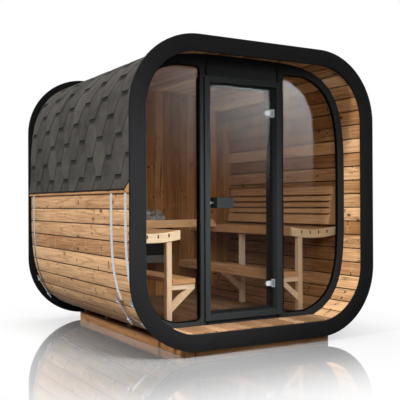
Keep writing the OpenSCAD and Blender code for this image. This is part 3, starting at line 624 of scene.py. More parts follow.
arc_angles = np.linspace(0, 2 * np.pi, 721)
arc_lengths = run_length(bow_point(arc_angles))
stave_pitch = arc_lengths[-1] / STAVES


def joint_angle(k):
    """Polar angle at which arc length is k stave pitches, counted up from level on the right."""
    turns, rest = np.divmod(np.asarray(k, float), STAVES)
    return 2 * np.pi * turns + np.interp(rest * stave_pitch, arc_lengths, arc_angles)


def facet_point(k, out):
    """Point on the flat staves: straight between the two joints beside k."""
    k = np.asarray(k, float)
    k0, part = np.floor(k), (k - np.floor(k))[..., None]
    return (1 - part) * bow_point(joint_angle(k0), out) + part * bow_point(joint_angle(k0 + 1), out)


def bow_width(z):
    """Half width inside the shell at a height, from the same superellipse."""
    return half_w * (1 - np.minimum(np.abs(z - mid_z) / half_h, 1) ** BOW_POWER) ** (1 / BOW_POWER)


def bow_height(x):
    """Half height inside the shell at a distance from the middle."""
    return half_h * (1 - np.minimum(np.abs(x) / half_w, 1) ** BOW_POWER) ** (1 / BOW_POWER)


print("outline:", round(half_w, 4), round(half_h, 4), "stave pitch", round(stave_pitch, 4))

# %% [markdown]
# Staves
#
# Each stave is one board that runs from ring to ring, so it is a profile carried along Y. Its
# edges lock into the next board's, and on both faces a groove a few millimetres wide with eased
# corners is left over the lock. The groove's own shadow and a shade painted into it draw the dark
# lines along the side. The groove is part of the profile, because a bevel could not round it and
# leave the lock closed.

# %% Staves
# Distance in from the joint and depth below the face, from the lock out to the flat of the board
GROOVE = np.array([(0.0001, 0.011), (0.0024, 0.011), (0.0024, 0.0045), (0.0036, 0.0014),
                   (0.0064, 0.0)])
SEGMENTS = {"shell_right": (-5, 5), "shell_corner_top_right": (5, 11), "shell_roof": (11, 21),
            "shell_corner_top_left": (21, 27), "shell_left": (27, 37),
            "shell_corner_bottom_left": (37, 43), "shell_floor": (43, 53),
            "shell_corner_bottom_right": (53, 59)}
edge_in, edge_depth = GROOVE.T
stave_across = np.concatenate([edge_in[::-1], edge_in])
stave_across = np.concatenate([stave_across, stave_pitch - stave_across[::-1]])
stave_out = np.concatenate([edge_depth[::-1], stave_t - edge_depth])
stave_out = np.concatenate([stave_out, stave_out[::-1]])
# How much shade is painted into the groove: none at its face, about half where it bends, all below
edge_groove_shade = np.interp(edge_depth, [0, 0.0014, 0.0045], [0, 0.55, 1])
stave_groove_shade = np.tile(np.concatenate([edge_groove_shade[::-1], edge_groove_shade]), 4)

for node, (k0, k1) in SEGMENTS.items():
    outline = facet_point(np.arange(k0, k1)[:, None] + stave_across / stave_pitch, stave_out)
    points, faces = prism(outline, shell_y0, shell_y1)
    local = np.stack([points[..., 1], np.broadcast_to(np.tile(stave_across, 2), points.shape[:-1]),
                      np.broadcast_to(np.tile(stave_out, 2), points.shape[:-1])], -1)
    Solids().add(points, faces, grain=local, seam=stave_groove_shade).piece(
        node + "_staves", "stave_timber", [node])

# %% [markdown]
# Ring frames
#
# The two black rings are sawn from flat boards: four straight ones and four corner pieces, which
# meet on lines that point at the corner's centre. A ring could be one extrusion, but its joints
# and the rounded edge of each board show, so each board is a rounded rectangle carried along its
# own stretch of the rounded square.

# %% Ring frames
RING_FACE, RING_R, RING_EASE = 0.122, 0.548, 0.0035
RING_JOINT = math.radians(21)
# The boards lie only this far apart, because light shows through a wider joint
JOINT_HAIR = 0.0004
ARC_STEPS, BEND_STEPS = 9, 19
ring_low, ring_high = corners("front_ring_boards")
ring_t = ring_high[1] - ring_low[1]
ring_half = np.array([ring_high[0], (ring_high[2] - ring_low[2]) / 2])


def directions(start, end, steps):
    """Unit vectors of X and Z at equal steps between two angles."""
    angle = np.linspace(start, end, steps)
    return np.stack([np.cos(angle), np.sin(angle)], -1)


def ring_board(outward, centres, y0):
    """Rounded rectangle carried along the ring: centre + (R - across) * outward, y0 + depth."""
    profile = rounded_rectangle(RING_FACE, ring_t, RING_EASE)
    middle = centres + (RING_R - RING_FACE / 2) * outward
    place = middle[:, None] - profile[None, :, :1] * outward[:, None]
    depth = np.broadcast_to(y0 + ring_t / 2 + profile[None, :, 1], place.shape[:2])
    place[..., 1] += mid_z
    run = run_length(middle)
    local = np.stack([np.broadcast_to(run[:, None], depth.shape),
                      np.broadcast_to(profile[None, :, 0], depth.shape), depth], -1)
    return in_depth(place, depth).reshape(-1, 3), lofted(*depth.shape), local.reshape(-1, 3)


def ring(name):
    """Four straight boards and four corners. A hair of the angle is left open at each joint."""
    straight, bent = Solids(), Solids()
    y0 = corners(name + "_boards")[0][1]
    hair = JOINT_HAIR / RING_R
    corner = ring_half - RING_R
    swing = RING_JOINT - hair
    for quarter in range(4):
        face = quarter * np.pi / 2
        before = directions(face - swing, face, ARC_STEPS)
        after = directions(face, face + swing, ARC_STEPS)
        signs = [np.sign(np.round(np.array([math.cos(a), math.sin(a)]), 6))
                 for a in (face - np.pi / 4, face + np.pi / 4)]
        centres = np.concatenate([np.tile(corner * s, (ARC_STEPS, 1)) for s in signs])
        points, faces, local = ring_board(np.concatenate([before, after]), centres, y0)
        straight.add(points, faces, grain=local)
        bend = directions(face + RING_JOINT + hair, face + np.pi / 2 - RING_JOINT - hair,
                          BEND_STEPS)
        points, faces, local = ring_board(bend, np.tile(corner * signs[1], (BEND_STEPS, 1)), y0)
        middle = face + np.pi / 4
        bent.add(points, faces, along=np.array([math.sin(middle), 0, -math.cos(middle)]))
    straight.piece(name + "_boards_round", "ring_paint", [name + "_boards"])
    bent.piece(name + "_corners_round", "ring_paint", [name + "_corners"])


ring("front_ring")
ring("rear_ring")

# %% [markdown]
# Base
#
# The building stands on two long boards on edge, joined by cross boards that are cut to the curve
# of the shell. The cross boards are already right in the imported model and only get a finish. The
# long boards show, so they are new ones with rounded edges.

# %% Base
base_low, base_high = corners("base_sides")
BASE_BOARD_T = 0.045
low = np.array([[base_low[0], base_low[1], base_low[2]],
                [base_high[0] - BASE_BOARD_T, base_low[1], base_low[2]]])
high = np.array([[base_low[0] + BASE_BOARD_T, base_high[1], base_high[2]], base_high])
Solids().add(boxes(low, high), BOX_FACES, along=Y_AXIS).piece(
    "base_side_boards", "base_timber", ["base_sides"], bevel=0.003)

# %% [markdown]
# Floors
#
# The porch and the cabin are floored with boards that run front to back. The outermost board on
# each side is cut to the curve of the staves, so its lower edge is shorter than its upper one.

# %% Floor boards
FLOOR_BOARDS = 14
BOARD_GAP = 0.005


def floor_boards(node):
    """Board edges are linspace(-w, w), and each corner is held inside the shell at its height."""
    low, high = corners(node)
    edges = np.linspace(-bow_width(high[2]), bow_width(high[2]), FLOOR_BOARDS + 1)
    x0, x1 = edges[:-1] + BOARD_GAP / 2, edges[1:] - BOARD_GAP / 2
    foot = bow_width(low[2])
    bottom, top = np.full_like(x0, low[2]), np.full_like(x0, high[2])
    corner_places = ((np.clip(x0, -foot, foot), bottom), (np.clip(x1, -foot, foot), bottom),
                     (x1, top), (x0, top))
    outline = np.stack([np.stack(place, -1) for place in corner_places], -2)
    Solids().add(*prism(outline, low[1], high[1]), along=Y_AXIS).piece(
        node + "_boards", "floor_timber", [node], bevel=0.002)


floor_boards("porch_deck")
floor_boards("cabin_floor")

# %% [markdown]
# Front wall
#
# Each side panel is a band between two loops: the shell outside and the window inside. Both loops
# are sampled at matching places, and a profile is carried round them whose first parameter blends
# from the inner loop to the outer one. That gives a rounded window edge without any boolean.

# %% Front wall panels
WINDOW_BAND, WINDOW_X, WINDOW_R = 0.062, 0.386, 0.045
SEAM_X, SEAM_HAIR = 0.325, 0.001
EDGE_R = 0.008
panel_low, panel_high = corners("front_wall_right")
wall_y0, wall_y1 = panel_low[1], panel_high[1]
frame_low, frame_high = corners("door_jambs")
window_head = corners("window_right")[1][2]


def window_loops():
    """Matching inner and outer loops of the right panel, counter-clockwise from the front."""
    fine = np.linspace(0.3, np.pi / 2, 400)
    start = np.interp(window_head, bow_point(fine, -WINDOW_BAND)[:, 1], fine)
    angles = np.linspace(-start, start, 73)
    curve_in, curve_out = bow_point(angles, -WINDOW_BAND), bow_point(angles, 0.0)
    turn = np.linspace(0, np.pi / 2, 9)
    arc = WINDOW_R * np.stack([-np.sin(turn), np.cos(turn)], -1)
    upper = np.array([WINDOW_X + WINDOW_R, window_head - WINDOW_R]) + arc
    lower = np.stack([upper[::-1, 0], 2 * mid_z - upper[::-1, 1]], -1)
    run_x = np.linspace(curve_out[-1, 0], SEAM_X, 10)
    upper_out = np.stack([run_x, mid_z + bow_height(run_x)], -1)
    lower_out = np.stack([run_x[::-1], mid_z - bow_height(run_x[::-1])], -1)
    side_z = np.linspace(upper[-1, 1], lower[0, 1], 26)[1:-1]
    side_in = np.stack([np.full_like(side_z, WINDOW_X), side_z], -1)
    beside_frame = (side_z > frame_low[2]) & (side_z < frame_high[2])
    side_out = np.stack([np.where(beside_frame, frame_high[0], SEAM_X), side_z], -1)
    inner = np.concatenate([curve_in, upper, side_in, lower])
    outer = np.concatenate([curve_out, upper_out[1:], side_out, lower_out[:-1]])
    return inner, outer


inner_loop, outer_loop = window_loops()


def wall_band(inner, outer, front, back):
    """Rounded profile from the inner loop (share 0) to the outer one (share 1), carried round."""
    turn = np.linspace(0, np.pi / 2, 4)
    width = np.linalg.norm(outer - inner, axis=1)[:, None]
    eased = np.concatenate([EDGE_R * (1 - np.sin(turn)), EDGE_R * (1 - np.cos(turn))])
    whole = np.ones_like(width)
    share = np.concatenate([whole, eased / width, whole], 1)
    depth = np.concatenate([[front], front + EDGE_R * (1 - np.cos(turn)),
                            back - EDGE_R * (1 - np.sin(turn)), [back]])
    place = inner[:, None] + share[..., None] * (outer - inner)[:, None]
    return in_depth(place, depth).reshape(-1, 3), lofted(*place.shape[:2], closed=True)


right_panel = wall_band(inner_loop, outer_loop, wall_y0, wall_y1)
for side, (points, faces) in (("right", right_panel), ("left", mirrored(*right_panel))):
    Solids().add(points, faces, along=Z_AXIS).piece(
        "front_panel_" + side, "wall_paint", ["front_wall_" + side])


def middle_board(place):
    """Board over or under the door, straight beside the frame and bowed along the shell."""
    low, high = corners("front_wall_" + place)
    over = low[2] > mid_z
    x = np.linspace(SEAM_HAIR - SEAM_X, SEAM_X - SEAM_HAIR, 13)
    bow = np.stack([x, (1 if over else -1) * bow_height(x) + mid_z], -1)
    flat_z = low[2] if over else high[2]
    flat = np.array([[x[0], flat_z], [x[-1], flat_z]])
    outline = np.concatenate([flat, bow[::-1]] if over else [bow, flat[::-1]])
    Solids().add(*prism(outline, wall_y0, wall_y1)).piece(
        f"front_{place}_board", "wall_paint", ["front_wall_" + place], bevel=0.002)


middle_board("header")
middle_board("sill")

# %% [markdown]
# Window seals
#
# The fixed panes sit behind a soft black seal, which fills the step between the wall face and the
# glass and draws the dark line round each window. It is a small rounded bar carried round the
# window's own loop.

# %% Window seals and panes
SEAL_W, SEAL_D, SEAL_EASE = 0.010, 0.024, 0.004


def seal(loop, y0):
    """Rounded bar, offset inwards from a loop by half its width along the loop's own normal."""
    ahead = np.roll(loop, -1, 0) - np.roll(loop, 1, 0)
    inward = np.stack([-ahead[:, 1], ahead[:, 0]], -1)
    inward /= np.linalg.norm(inward, axis=1, keepdims=True)
    profile = rounded_rectangle(SEAL_W, SEAL_D, SEAL_EASE)
    place = loop[:, None] + (SEAL_W / 2 - profile[None, :, :1]) * inward[:, None]
    y = y0 + SEAL_D / 2 + profile[None, :, 1]
    return in_depth(place, y).reshape(-1, 3), lofted(*place.shape[:2], closed=True)


def refinish(node, finish):
    """Gives a carried-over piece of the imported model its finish."""
    nodes[node].data.materials.clear()
    nodes[node].data.materials.append(finishes[finish])


pane_low = corners("window_right")[0]
Solids().both(*seal(inner_loop, pane_low[1] - SEAL_D)).piece(
    "window_seals", "wall_paint", finish="seal_rubber")
for node in ("window_left", "window_right", "door_glass"):
    refinish(node, "window_glass")

# %% [markdown]
# Rear wall
#
# The rear wall has two skins of upright boards: warm timber inside, where it shows through the
# glass, and black outside. Each board's ends follow the bow of the shell, so a board is a
# rectangle of depth and height carried along X, with its height worked out at every station.

# %% Rear wall boards
LINING_T = 0.020
WALL_SHARE, WALL_HAIR, END_HAIR = 0.998, 0.0008, 0.001
# The two counts share no factor, so no joint of one skin meets a joint of the other
LINING_BOARDS, CLADDING_BOARDS = 23, 18


def upright_boards(x0, x1, y0, y1, stations=4):
    """Boards between x0 and x1 whose feet and heads follow mid_z -/+ the bow's half height."""
    x = x0[:, None] + (x1 - x0)[:, None] * np.linspace(0, 1, stations)
    z0, z1 = mid_z - bow_height(x) + END_HAIR, mid_z + bow_height(x) - END_HAIR
    z = np.stack([z0, z0, z1, z1], -1)
    place = np.stack([np.broadcast_to(x[..., None], z.shape), z], -1)
    return in_depth(place, np.array([y1, y0, y0, y1])).reshape(len(x0), -1, 3), lofted(stations, 4)


def rear_skin(name, count, y0, y1, slot, **more):
    """`count` equal boards over the whole width. The outermost stop just inside the shell."""
    edges = np.linspace(-half_w * WALL_SHARE, half_w * WALL_SHARE, count + 1)
    boards = upright_boards(edges[:-1] + WALL_HAIR, edges[1:] - WALL_HAIR, y0, y1)
    Solids().add(*boards, along=Z_AXIS).piece(name, slot, bevel=0.002, **more)


# The lining takes the darker copy of the stave timber, which is painted shade
rear_skin("rear_wall_lining", LINING_BOARDS, wall_low[1], wall_low[1] + LINING_T, "stave_timber",
          finish="lining_timber")
rear_skin("rear_wall_cladding", CLADDING_BOARDS, wall_low[1] + LINING_T, wall_high[1], "wall_paint",
          replaces=["rear_wall"])

# %% [markdown]
# Door frame
#
# The frame is a stepped profile with a rebate for the leaf, and its four members meet in mitred
# corners. So one profile is carried round a rectangle of four stations: at each corner the offset
# inwards is taken along both sides at once, which makes the mitre.

# %% Door frame
FRAME_FACE, STOP_W, STOP_BACK = 0.045, 0.016, 0.007
leaf_low, leaf_high = corners("door_glass")
stop_y0 = leaf_high[1] + STOP_BACK
frame_y0, frame_y1 = frame_low[1], frame_high[1]
frame_profile = np.array([(0, frame_y0), (0, frame_y1), (FRAME_FACE + STOP_W, frame_y1),
                          (FRAME_FACE + STOP_W, stop_y0), (FRAME_FACE, stop_y0),
                          (FRAME_FACE, frame_y0)])
frame_signs = np.array([[1, -1], [1, 1], [-1, 1], [-1, -1]])
frame_half = np.array([frame_high[0], (frame_high[2] - frame_low[2]) / 2])
frame_mid = (frame_high[2] + frame_low[2]) / 2
frame_place = frame_signs[:, None] * (frame_half - frame_profile[None, :, :1])
frame_place[..., 1] += frame_mid
Solids().add(in_depth(frame_place, frame_profile[:, 1]).reshape(-1, 3), lofted(4, 6, closed=True),
             along=Z_AXIS).piece(
    "door_frame", "frame_paint", ["door_jambs", "door_head", "door_threshold"], bevel=0.004,
    segments=3)

# %% [markdown]
# Door fittings
#
# The door has a square grip block on each side of the glass, a roller latch that holds it shut,
# and two clamp hinges. Round fittings are turned: a radius given at stations along an axis, swept
# through a full circle.


# %% Turned pieces
def turned(radii, stations, origin, axis, sides=24):
    """Surface of revolution: origin + axis * station + radius * (cos t, sin t) across it."""
    axis = np.asarray(axis, float) / np.linalg.norm(axis)
    side = np.cross(axis, Z_AXIS if abs(axis[2]) < 0.9 else X_AXIS)
    side /= np.linalg.norm(side)
    third = np.cross(axis, side)
    t = np.linspace(0, 2 * np.pi, sides, endpoint=False)
    circle = np.cos(t)[:, None] * side + np.sin(t)[:, None] * third
    circle = circle[::-1]
    radii, stations = np.asarray(radii, float), np.asarray(stations, float)
    points = np.asarray(origin) + stations[:, None, None] * axis + radii[:, None, None] * circle
    return points.reshape(-1, 3), lofted(len(stations), sides)


def rounded_bar(radius, length, soft=0.0015):
    """Radii and stations of a plain turned bar with softened ends."""
    turn = np.linspace(0, np.pi / 2, 4)
    start = soft * (1 - np.cos(turn))
    rise = radius - soft + soft * np.sin(turn)
    return np.concatenate([rise, rise[::-1]]), np.concatenate([start, length - start[::-1]])


# %% Handles and latch
ROLLER_SHARE, STEM_SHARE = 0.4, 0.55
handle_low, handle_high = corners("door_handles")
grip_low = [handle_low, [handle_low[0], leaf_high[1], handle_low[2]]]
grip_high = [[handle_high[0], leaf_low[1], handle_high[2]], handle_high]
Solids().add(boxes(grip_low, grip_high), BOX_FACES).piece(
    "door_grip_blocks", "handle_grey", ["door_handles"], "door", bevel=0.004, segments=3)

latch_low, latch_high = corners("door_latch")
latch_r = (latch_high[2] - latch_low[2]) / 2
latch_place = [latch_low[0], (latch_low[1] + latch_high[1]) / 2, (latch_low[2] + latch_high[2]) / 2]
latch_l = latch_high[0] - latch_low[0]
roller_l = ROLLER_SHARE * latch_l
stem = Solids().add(*turned(*rounded_bar(latch_r, roller_l), latch_place, X_AXIS))
stem.add(*turned(*rounded_bar(STEM_SHARE * latch_r, latch_l - roller_l),
                 latch_place + X_AXIS * roller_l, X_AXIS))
stem.piece("door_latch_roller", "fitting_chrome", ["door_latch"], "door")

# %% Hinges
CLAMP_H, PLATE_H, KNUCKLE_R, CHEEK_T = 0.040, 0.064, 0.008, 0.005
PLATE_T, EAR_GAP, BLOCK_W = 0.004, 0.001, 0.02
SCREW_R, SCREW_L, SCREW_SOFT, SCREW_IN = 0.0055, 0.003, 0.001, 0.034
clamp_low = corners("door_hinge_clamps")[0]
plate_low, plate_high = corners("door_hinge_plates")
pin_x, pin_y = frame["joints"][0]["pos_m"][:2]
plate_x = plate_high[0] - PLATE_T
ear_h = (PLATE_H - CLAMP_H) / 2 - EAR_GAP


def clamp_outline(z):
    """Cheek of a hinge: a half circle at the far end and a square end at the hinge axis."""
    centre = np.array([clamp_low[0] + CLAMP_H / 2, z])
    arc = centre + CLAMP_H / 2 * directions(np.pi / 2, 3 * np.pi / 2, 13)
    return np.concatenate([arc, [[pin_x, z - CLAMP_H / 2], [pin_x, z + CLAMP_H / 2]]])


clamps, plates = Solids(), Solids()
for z in (plate_low[2] + PLATE_H / 2, plate_high[2] - PLATE_H / 2):
    z0, z1 = z - CLAMP_H / 2, z + CLAMP_H / 2
    for y0 in (leaf_low[1] - CHEEK_T, leaf_high[1]):
        clamps.add(*prism(clamp_outline(z), y0, y0 + CHEEK_T))
    clamps.add(boxes([pin_x - BLOCK_W, leaf_low[1], z0], [pin_x, leaf_high[1], z1]), BOX_FACES)
    clamps.add(*turned(*rounded_bar(KNUCKLE_R, CLAMP_H), [pin_x, pin_y, z0], Z_AXIS))
    clamps.add(*turned(*rounded_bar(SCREW_R, SCREW_L, SCREW_SOFT),
                       [pin_x - SCREW_IN, leaf_low[1] - CHEEK_T, z], -Y_AXIS))
    foot, head = z - PLATE_H / 2, z + PLATE_H / 2
    plates.add(boxes([plate_x, plate_low[1], foot], [*plate_high[:2], head]), BOX_FACES)
    for ear in (foot, head - ear_h):
        plates.add(*turned(*rounded_bar(KNUCKLE_R, ear_h), [pin_x, pin_y, ear], Z_AXIS))
        plates.add(boxes([pin_x, pin_y - KNUCKLE_R, ear],
                         [plate_x, pin_y + KNUCKLE_R, ear + ear_h]), BOX_FACES)
clamps.piece("door_clamps_polished", "fitting_chrome", ["door_hinge_clamps"], "door", bevel=0.001)
plates.piece("hinge_plates_polished", "fitting_chrome", ["door_hinge_plates"], bevel=0.001)

# %% [markdown]
# Shingles
#
# The roof is covered with courses of hexagonal bitumen tabs. A course is one strip of sheet whose
# lower edge steps between flat tab feet and the notches beside them. Every second course is
# shifted by half a tab, so a foot always lies over a notch and the eye sees long hexagons. Each
# strip rests on the two below it, so its distance from the shell falls from two sheets at its
# foot to none at its head. It is a surface of two parameters: along the roof, and up the strip.

# %% Shingle courses
HOOP_T, BATTEN_T, COVER_T = 0.002, 0.016, 0.008
CORNER_CUT, TAB_SHIFT = 0.085, 0.078
LAP, HEAD_MIN = 0.02, 0.01
SHEET_ROWS = 9
ROOF_HAIR, MARK_HAIR = 0.001, 0.004
EAVE_ANGLE = math.radians(1.0)
sheet_t = COVER_T / 3
eave_arc = np.interp(EAVE_ANGLE, arc_angles, arc_lengths)
half_arc = arc_lengths[len(arc_lengths) // 2] / 2
COURSES = int(round((half_arc - eave_arc + EAVE_TRIM) / EXPOSURE))


def tab_edge(y, shift):
    """Height of a course's lower edge: 0 at a foot, `EXPOSURE` at a notch, straight between."""
    off = np.abs((y / TAB + shift + 0.5) % 1 - 0.5) * TAB
    return np.interp(off, [TAB_FOOT, TAB_SHOULDER], [0, EXPOSURE])


def tab_places(shift):
    """Y of every foot corner and notch corner within the roof, with one point between each pair."""
    centres = (np.arange(-6, 7) - shift) * TAB
    offsets = np.array([-TAB_SHOULDER, -TAB_FOOT, TAB_FOOT, TAB_SHOULDER])
    marks = (centres[:, None] + offsets).ravel()
    marks = marks[(marks > shell_y0 + MARK_HAIR) & (marks < shell_y1 - MARK_HAIR)]
    marks = np.concatenate([[shell_y0 + ROOF_HAIR], marks, [shell_y1 - ROOF_HAIR]])
    return np.sort(np.concatenate([marks, (marks[1:] + marks[:-1]) / 2]))


def roof_point(arc, out, side):
    """Point over the shell at an arc length up from the eave side, `out` metres off the hoops."""
    angle = np.interp(arc, arc_lengths, arc_angles)
    kick = BATTEN_T * np.clip(1 - (arc - eave_arc) / stave_pitch, 0, 1)
    place = bow_point(angle, stave_t + HOOP_T + out + kick)
    return place * np.array([side, 1])


def course(index, side, solids):
    """Sheet of course `index`: top face, under face and a rim, all from one (along, up) grid.

    Course -1 is the starter strip under the first tabs. Both are cut off along the eave.
    """
    shift = 0.5 * (index % 2) + TAB_SHIFT
    y = tab_places(shift)
    trim = EAVE_TRIM - min(index, 0) * EXPOSURE if index <= 0 else 0
    low = np.maximum(tab_edge(y, shift) if index >= 0 else 0 * y, trim)
    base = eave_arc - EAVE_TRIM + index * EXPOSURE
    reach = min(2 * EXPOSURE + LAP, half_arc - base)
    low = np.minimum(low, reach - HEAD_MIN)
    q = low[:, None] + (reach - low[:, None]) * np.linspace(0, 1, SHEET_ROWS)
    rest = sheet_t * np.clip(2 - q / EXPOSURE, 0, 2)
    cut = CORNER_CUT * np.clip(1 - (base + q - eave_arc) / CORNER_CUT, 0, 1)
    along = np.maximum(y[:, None], shell_y0 + ROOF_HAIR + cut)
    top, under = (in_depth(roof_point(base + q, out, side), along)
                  for out in (rest + sheet_t, rest))
    flat = np.stack([along / TAB + shift, q, index + 0 * q], -1)

    def round_trip(first, second):
        """Up one face and back down the other."""
        return np.concatenate([first, second[:, ::-1]], 1).reshape(-1, 3)

    faces = lofted(len(y), 2 * SHEET_ROWS)
    if side > 0:
        faces = [face[:, ::-1] for face in faces]
    solids.add(round_trip(top, under), faces, grain=round_trip(flat, flat), scatter=0.0)


shingles = Solids()
for index in range(-1, COURSES):
    for side in (1, -1):
        course(index, side, shingles)
shingles.piece("shingle_courses", "shingle", ["roof_cover"])

# %% Ridge
RIDGE_HALF, RIDGE_STEP, RIDGE_LAP, RIDGE_END = 0.125, 0.145, 0.03, 0.002
RIDGE_LIFT = 1.6
ridge_y = np.arange(shell_y0 + MARK_HAIR, shell_y1 - RIDGE_STEP, RIDGE_STEP)


def ridge_tabs():
    """Short sheets bent over the ridge, each lifted by a sheet at its front end where it laps."""
    x = np.linspace(-RIDGE_HALF, RIDGE_HALF, 7)
    crown = mid_z + bow_height(x) + stave_t + HOOP_T + COVER_T
    ends = np.minimum(ridge_y + 2 * RIDGE_STEP - RIDGE_LAP, shell_y1 - RIDGE_END)
    y = np.stack([ridge_y, ends], -1)
    lift = np.array([sheet_t * RIDGE_LIFT, 0.0])
    top = crown + lift[:, None] + sheet_t
    z = np.concatenate([top - sheet_t, top[:, ::-1]], -1)
    z = np.broadcast_to(z, (len(y), *z.shape))
    place = np.stack([np.broadcast_to(np.concatenate([x, x[::-1]]), z.shape), z], -1)
    return in_depth(place, y[..., None]).reshape(len(y), -1, 3)


Solids().add(ridge_tabs(), lofted(2, 14)).piece("ridge_shingles", "shingle")

# %% [markdown]
# Eave battens
#
# Under the lowest course a tapered batten spans the hoops and kicks the shingles out, so that
# water drips clear of the staves. A thin line of its wood shows below the dark edge of the cover.

# %% Eave battens
BATTEN_SHOW, BATTEN_EASE = 0.020, 0.0005
batten_k = -(BATTEN_SHOW - half_w * math.tan(EAVE_ANGLE)) / stave_pitch
hoop_out = stave_t + HOOP_T
batten_outline = np.array([facet_point(batten_k, hoop_out),
                           facet_point(batten_k, hoop_out + BATTEN_T),
                           bow_point(EAVE_ANGLE, hoop_out + BATTEN_T - BATTEN_EASE),
                           facet_point(1.0, hoop_out)])
Solids().both(*prism(batten_outline, shell_y0 + ROOF_HAIR, shell_y1 - ROOF_HAIR), Y_AXIS).piece(
    "eave_batten_boards", "base_timber", ["eave_battens"], bevel=0.0015)

# %% [markdown]
# Hoops
#
# Three flat steel hoops hold the staves together. Each has a long band over the roof and a short
# one under the floor. The ends of both are turned out and rolled into a barrel, and a threaded rod
# with nuts pulls the barrels of the two bands towards each other. A band is a rounded strip
# carried along the facets of the shell.

# %% Hoop bands
HOOP_W, HOOP_EASE, SECOND_HOOP = 0.040, 0.0008, 0.246
UPPER_END, LOWER_END = 6.65, 7.87
LUG_RISE, LUG_R, LUG_SOFT, NECK_T = 0.027, 0.0115, 0.002, 0.006
hoop_low, hoop_high = corners("hoop_bands")
first_hoop = hoop_low[1] + HOOP_W / 2
hoop_ys = (first_hoop, hoop_low[1] + SECOND_HOOP + HOOP_W / 2, hoop_high[1] - HOOP_W / 2)
upper_lug, lower_lug = (facet_point(-k, stave_t + LUG_RISE) for k in (UPPER_END, LOWER_END))
lug_span = lower_lug - upper_lug
lug_line = lug_span / np.linalg.norm(lug_span)


def band_strip(k0, k1):
    """Strip `HOOP_W` wide and `HOOP_T` thick over the joints of the staves from k0 to k1."""
    k = np.concatenate([[k0], np.arange(math.ceil(k0), math.floor(k1) + 1), [k1]])
    profile = rounded_rectangle(HOOP_W, HOOP_T, HOOP_EASE, 2)
    place = facet_point(k[:, None], stave_t + HOOP_T / 2 + profile[None, :, 1])
    return in_depth(place, profile[None, :, 0]).reshape(-1, 3), lofted(*place.shape[:2])


def lug(k):
    """The band's end turned out and rolled round the rod's seat: a neck along the facet's normal
    and a barrel along Y about the lug's centre."""
    foot, centre = facet_point(k, stave_t), facet_point(k, stave_t + LUG_RISE)
    out = (centre - foot) / LUG_RISE
    side = np.array([-out[1], out[0]]) * NECK_T / 2
    neck = np.stack([foot - side, foot + side, centre + side, centre - side])
    if np.cross(neck[1] - neck[0], neck[2] - neck[1]) < 0:
        neck = neck[::-1]
    barrel = turned(*rounded_bar(LUG_R, HOOP_W, LUG_SOFT), [centre[0], -HOOP_W / 2, centre[1]],
                    Y_AXIS, 16)
    return prism(neck, -HOOP_W / 2, HOOP_W / 2), barrel


bands = Solids()
strips = [band_strip(-UPPER_END, STAVES / 2 + UPPER_END),
          band_strip(STAVES / 2 + LOWER_END, STAVES - LOWER_END)]
for y in hoop_ys:
    for points, faces in strips:
        bands.add(points + y * Y_AXIS, faces)
    for points, faces in (*lug(-UPPER_END), *lug(-LOWER_END)):
        bands.both(points + y * Y_AXIS, faces)
bands.piece("hoop_straps", "galvanised_steel", ["hoop_bands"], bevel=0.0006, segments=1)

# %% [markdown]
# Threaded rods
#
# A thread is a helix, and a helix is also a surface of two parameters: the radius is a wave of
# (distance / pitch - angle / full turn). Worked out on a grid, it gives real ridges that catch the
# light, at the cost of a few thousand points for each rod.

# %% Rods and nuts
ROD_R, ROD_TAIL = 0.006, 0.048
THREAD_PITCH, THREAD_DEPTH = 0.004, 0.0007
NUT_R, NUT_T, NUT_EASE = 0.0108, 0.010, 0.0012
WASHER_R, WASHER_EDGE, WASHER_T = 0.0130, 0.0122, 0.002
rod_l = np.linalg.norm(lug_span) + 2 * ROD_TAIL
rod_axis = np.array([lug_line[0], 0, lug_line[1]])
rod_start = np.array([upper_lug[0], 0, upper_lug[1]]) - ROD_TAIL * rod_axis


def thread(sides=10):
    """radius = R - depth * |saw(distance / pitch - angle / turn)|, on a grid of rings and sides."""
    s = np.arange(0, rod_l, THREAD_PITCH / 4)
    t = np.linspace(0, 2 * np.pi, sides, endpoint=False)[::-1]
    phase = (s[:, None] / THREAD_PITCH - t / (2 * np.pi)) % 1
    radius = ROD_R - THREAD_DEPTH * np.abs(2 * phase - 1)
    side = np.cross(rod_axis, Y_AXIS)
    circle = np.cos(t)[:, None] * side + np.sin(t)[:, None] * np.cross(rod_axis, side)
    points = rod_start + s[:, None, None] * rod_axis + radius[..., None] * circle
    return points.reshape(-1, 3), lofted(len(s), sides)


def nut(at):
    """Hexagon with eased corners: six sides, and a smaller hexagon at each face."""
    return turned([NUT_R - NUT_EASE, NUT_R, NUT_R, NUT_R - NUT_EASE],
                  [0, NUT_EASE, NUT_T - NUT_EASE, NUT_T], rod_start + at * rod_axis, rod_axis, 6)


def washer(at):
    """Disc with eased rims, which the rod runs through."""
    return turned([WASHER_EDGE, WASHER_R, WASHER_R, WASHER_EDGE],
                  np.array([0, 0.2, 0.8, 1]) * WASHER_T, rod_start + at * rod_axis, rod_axis, 16)


rods = Solids()
for y in hoop_ys:
    for points, faces in (thread(), nut(ROD_TAIL - LUG_R - WASHER_T - NUT_T),
                          nut(rod_l - ROD_TAIL + LUG_R + WASHER_T),
                          washer(ROD_TAIL - LUG_R - WASHER_T), washer(rod_l - ROD_TAIL + LUG_R)):
        rods.both(points + y * Y_AXIS, faces)
rods.piece("threaded_rods", "galvanised_steel", ["hoop_rods"], finish="rod_steel", sharp=30)

# %% [markdown]
# Upper benches
#
# The seat of each upper bench is hollowed: its slats lie on a wide arc that is set by the bench's
# width and the depth of the hollow. Every board of it is a strip between two arcs about the same
# centre, cut at two distances from the middle of the cabin.

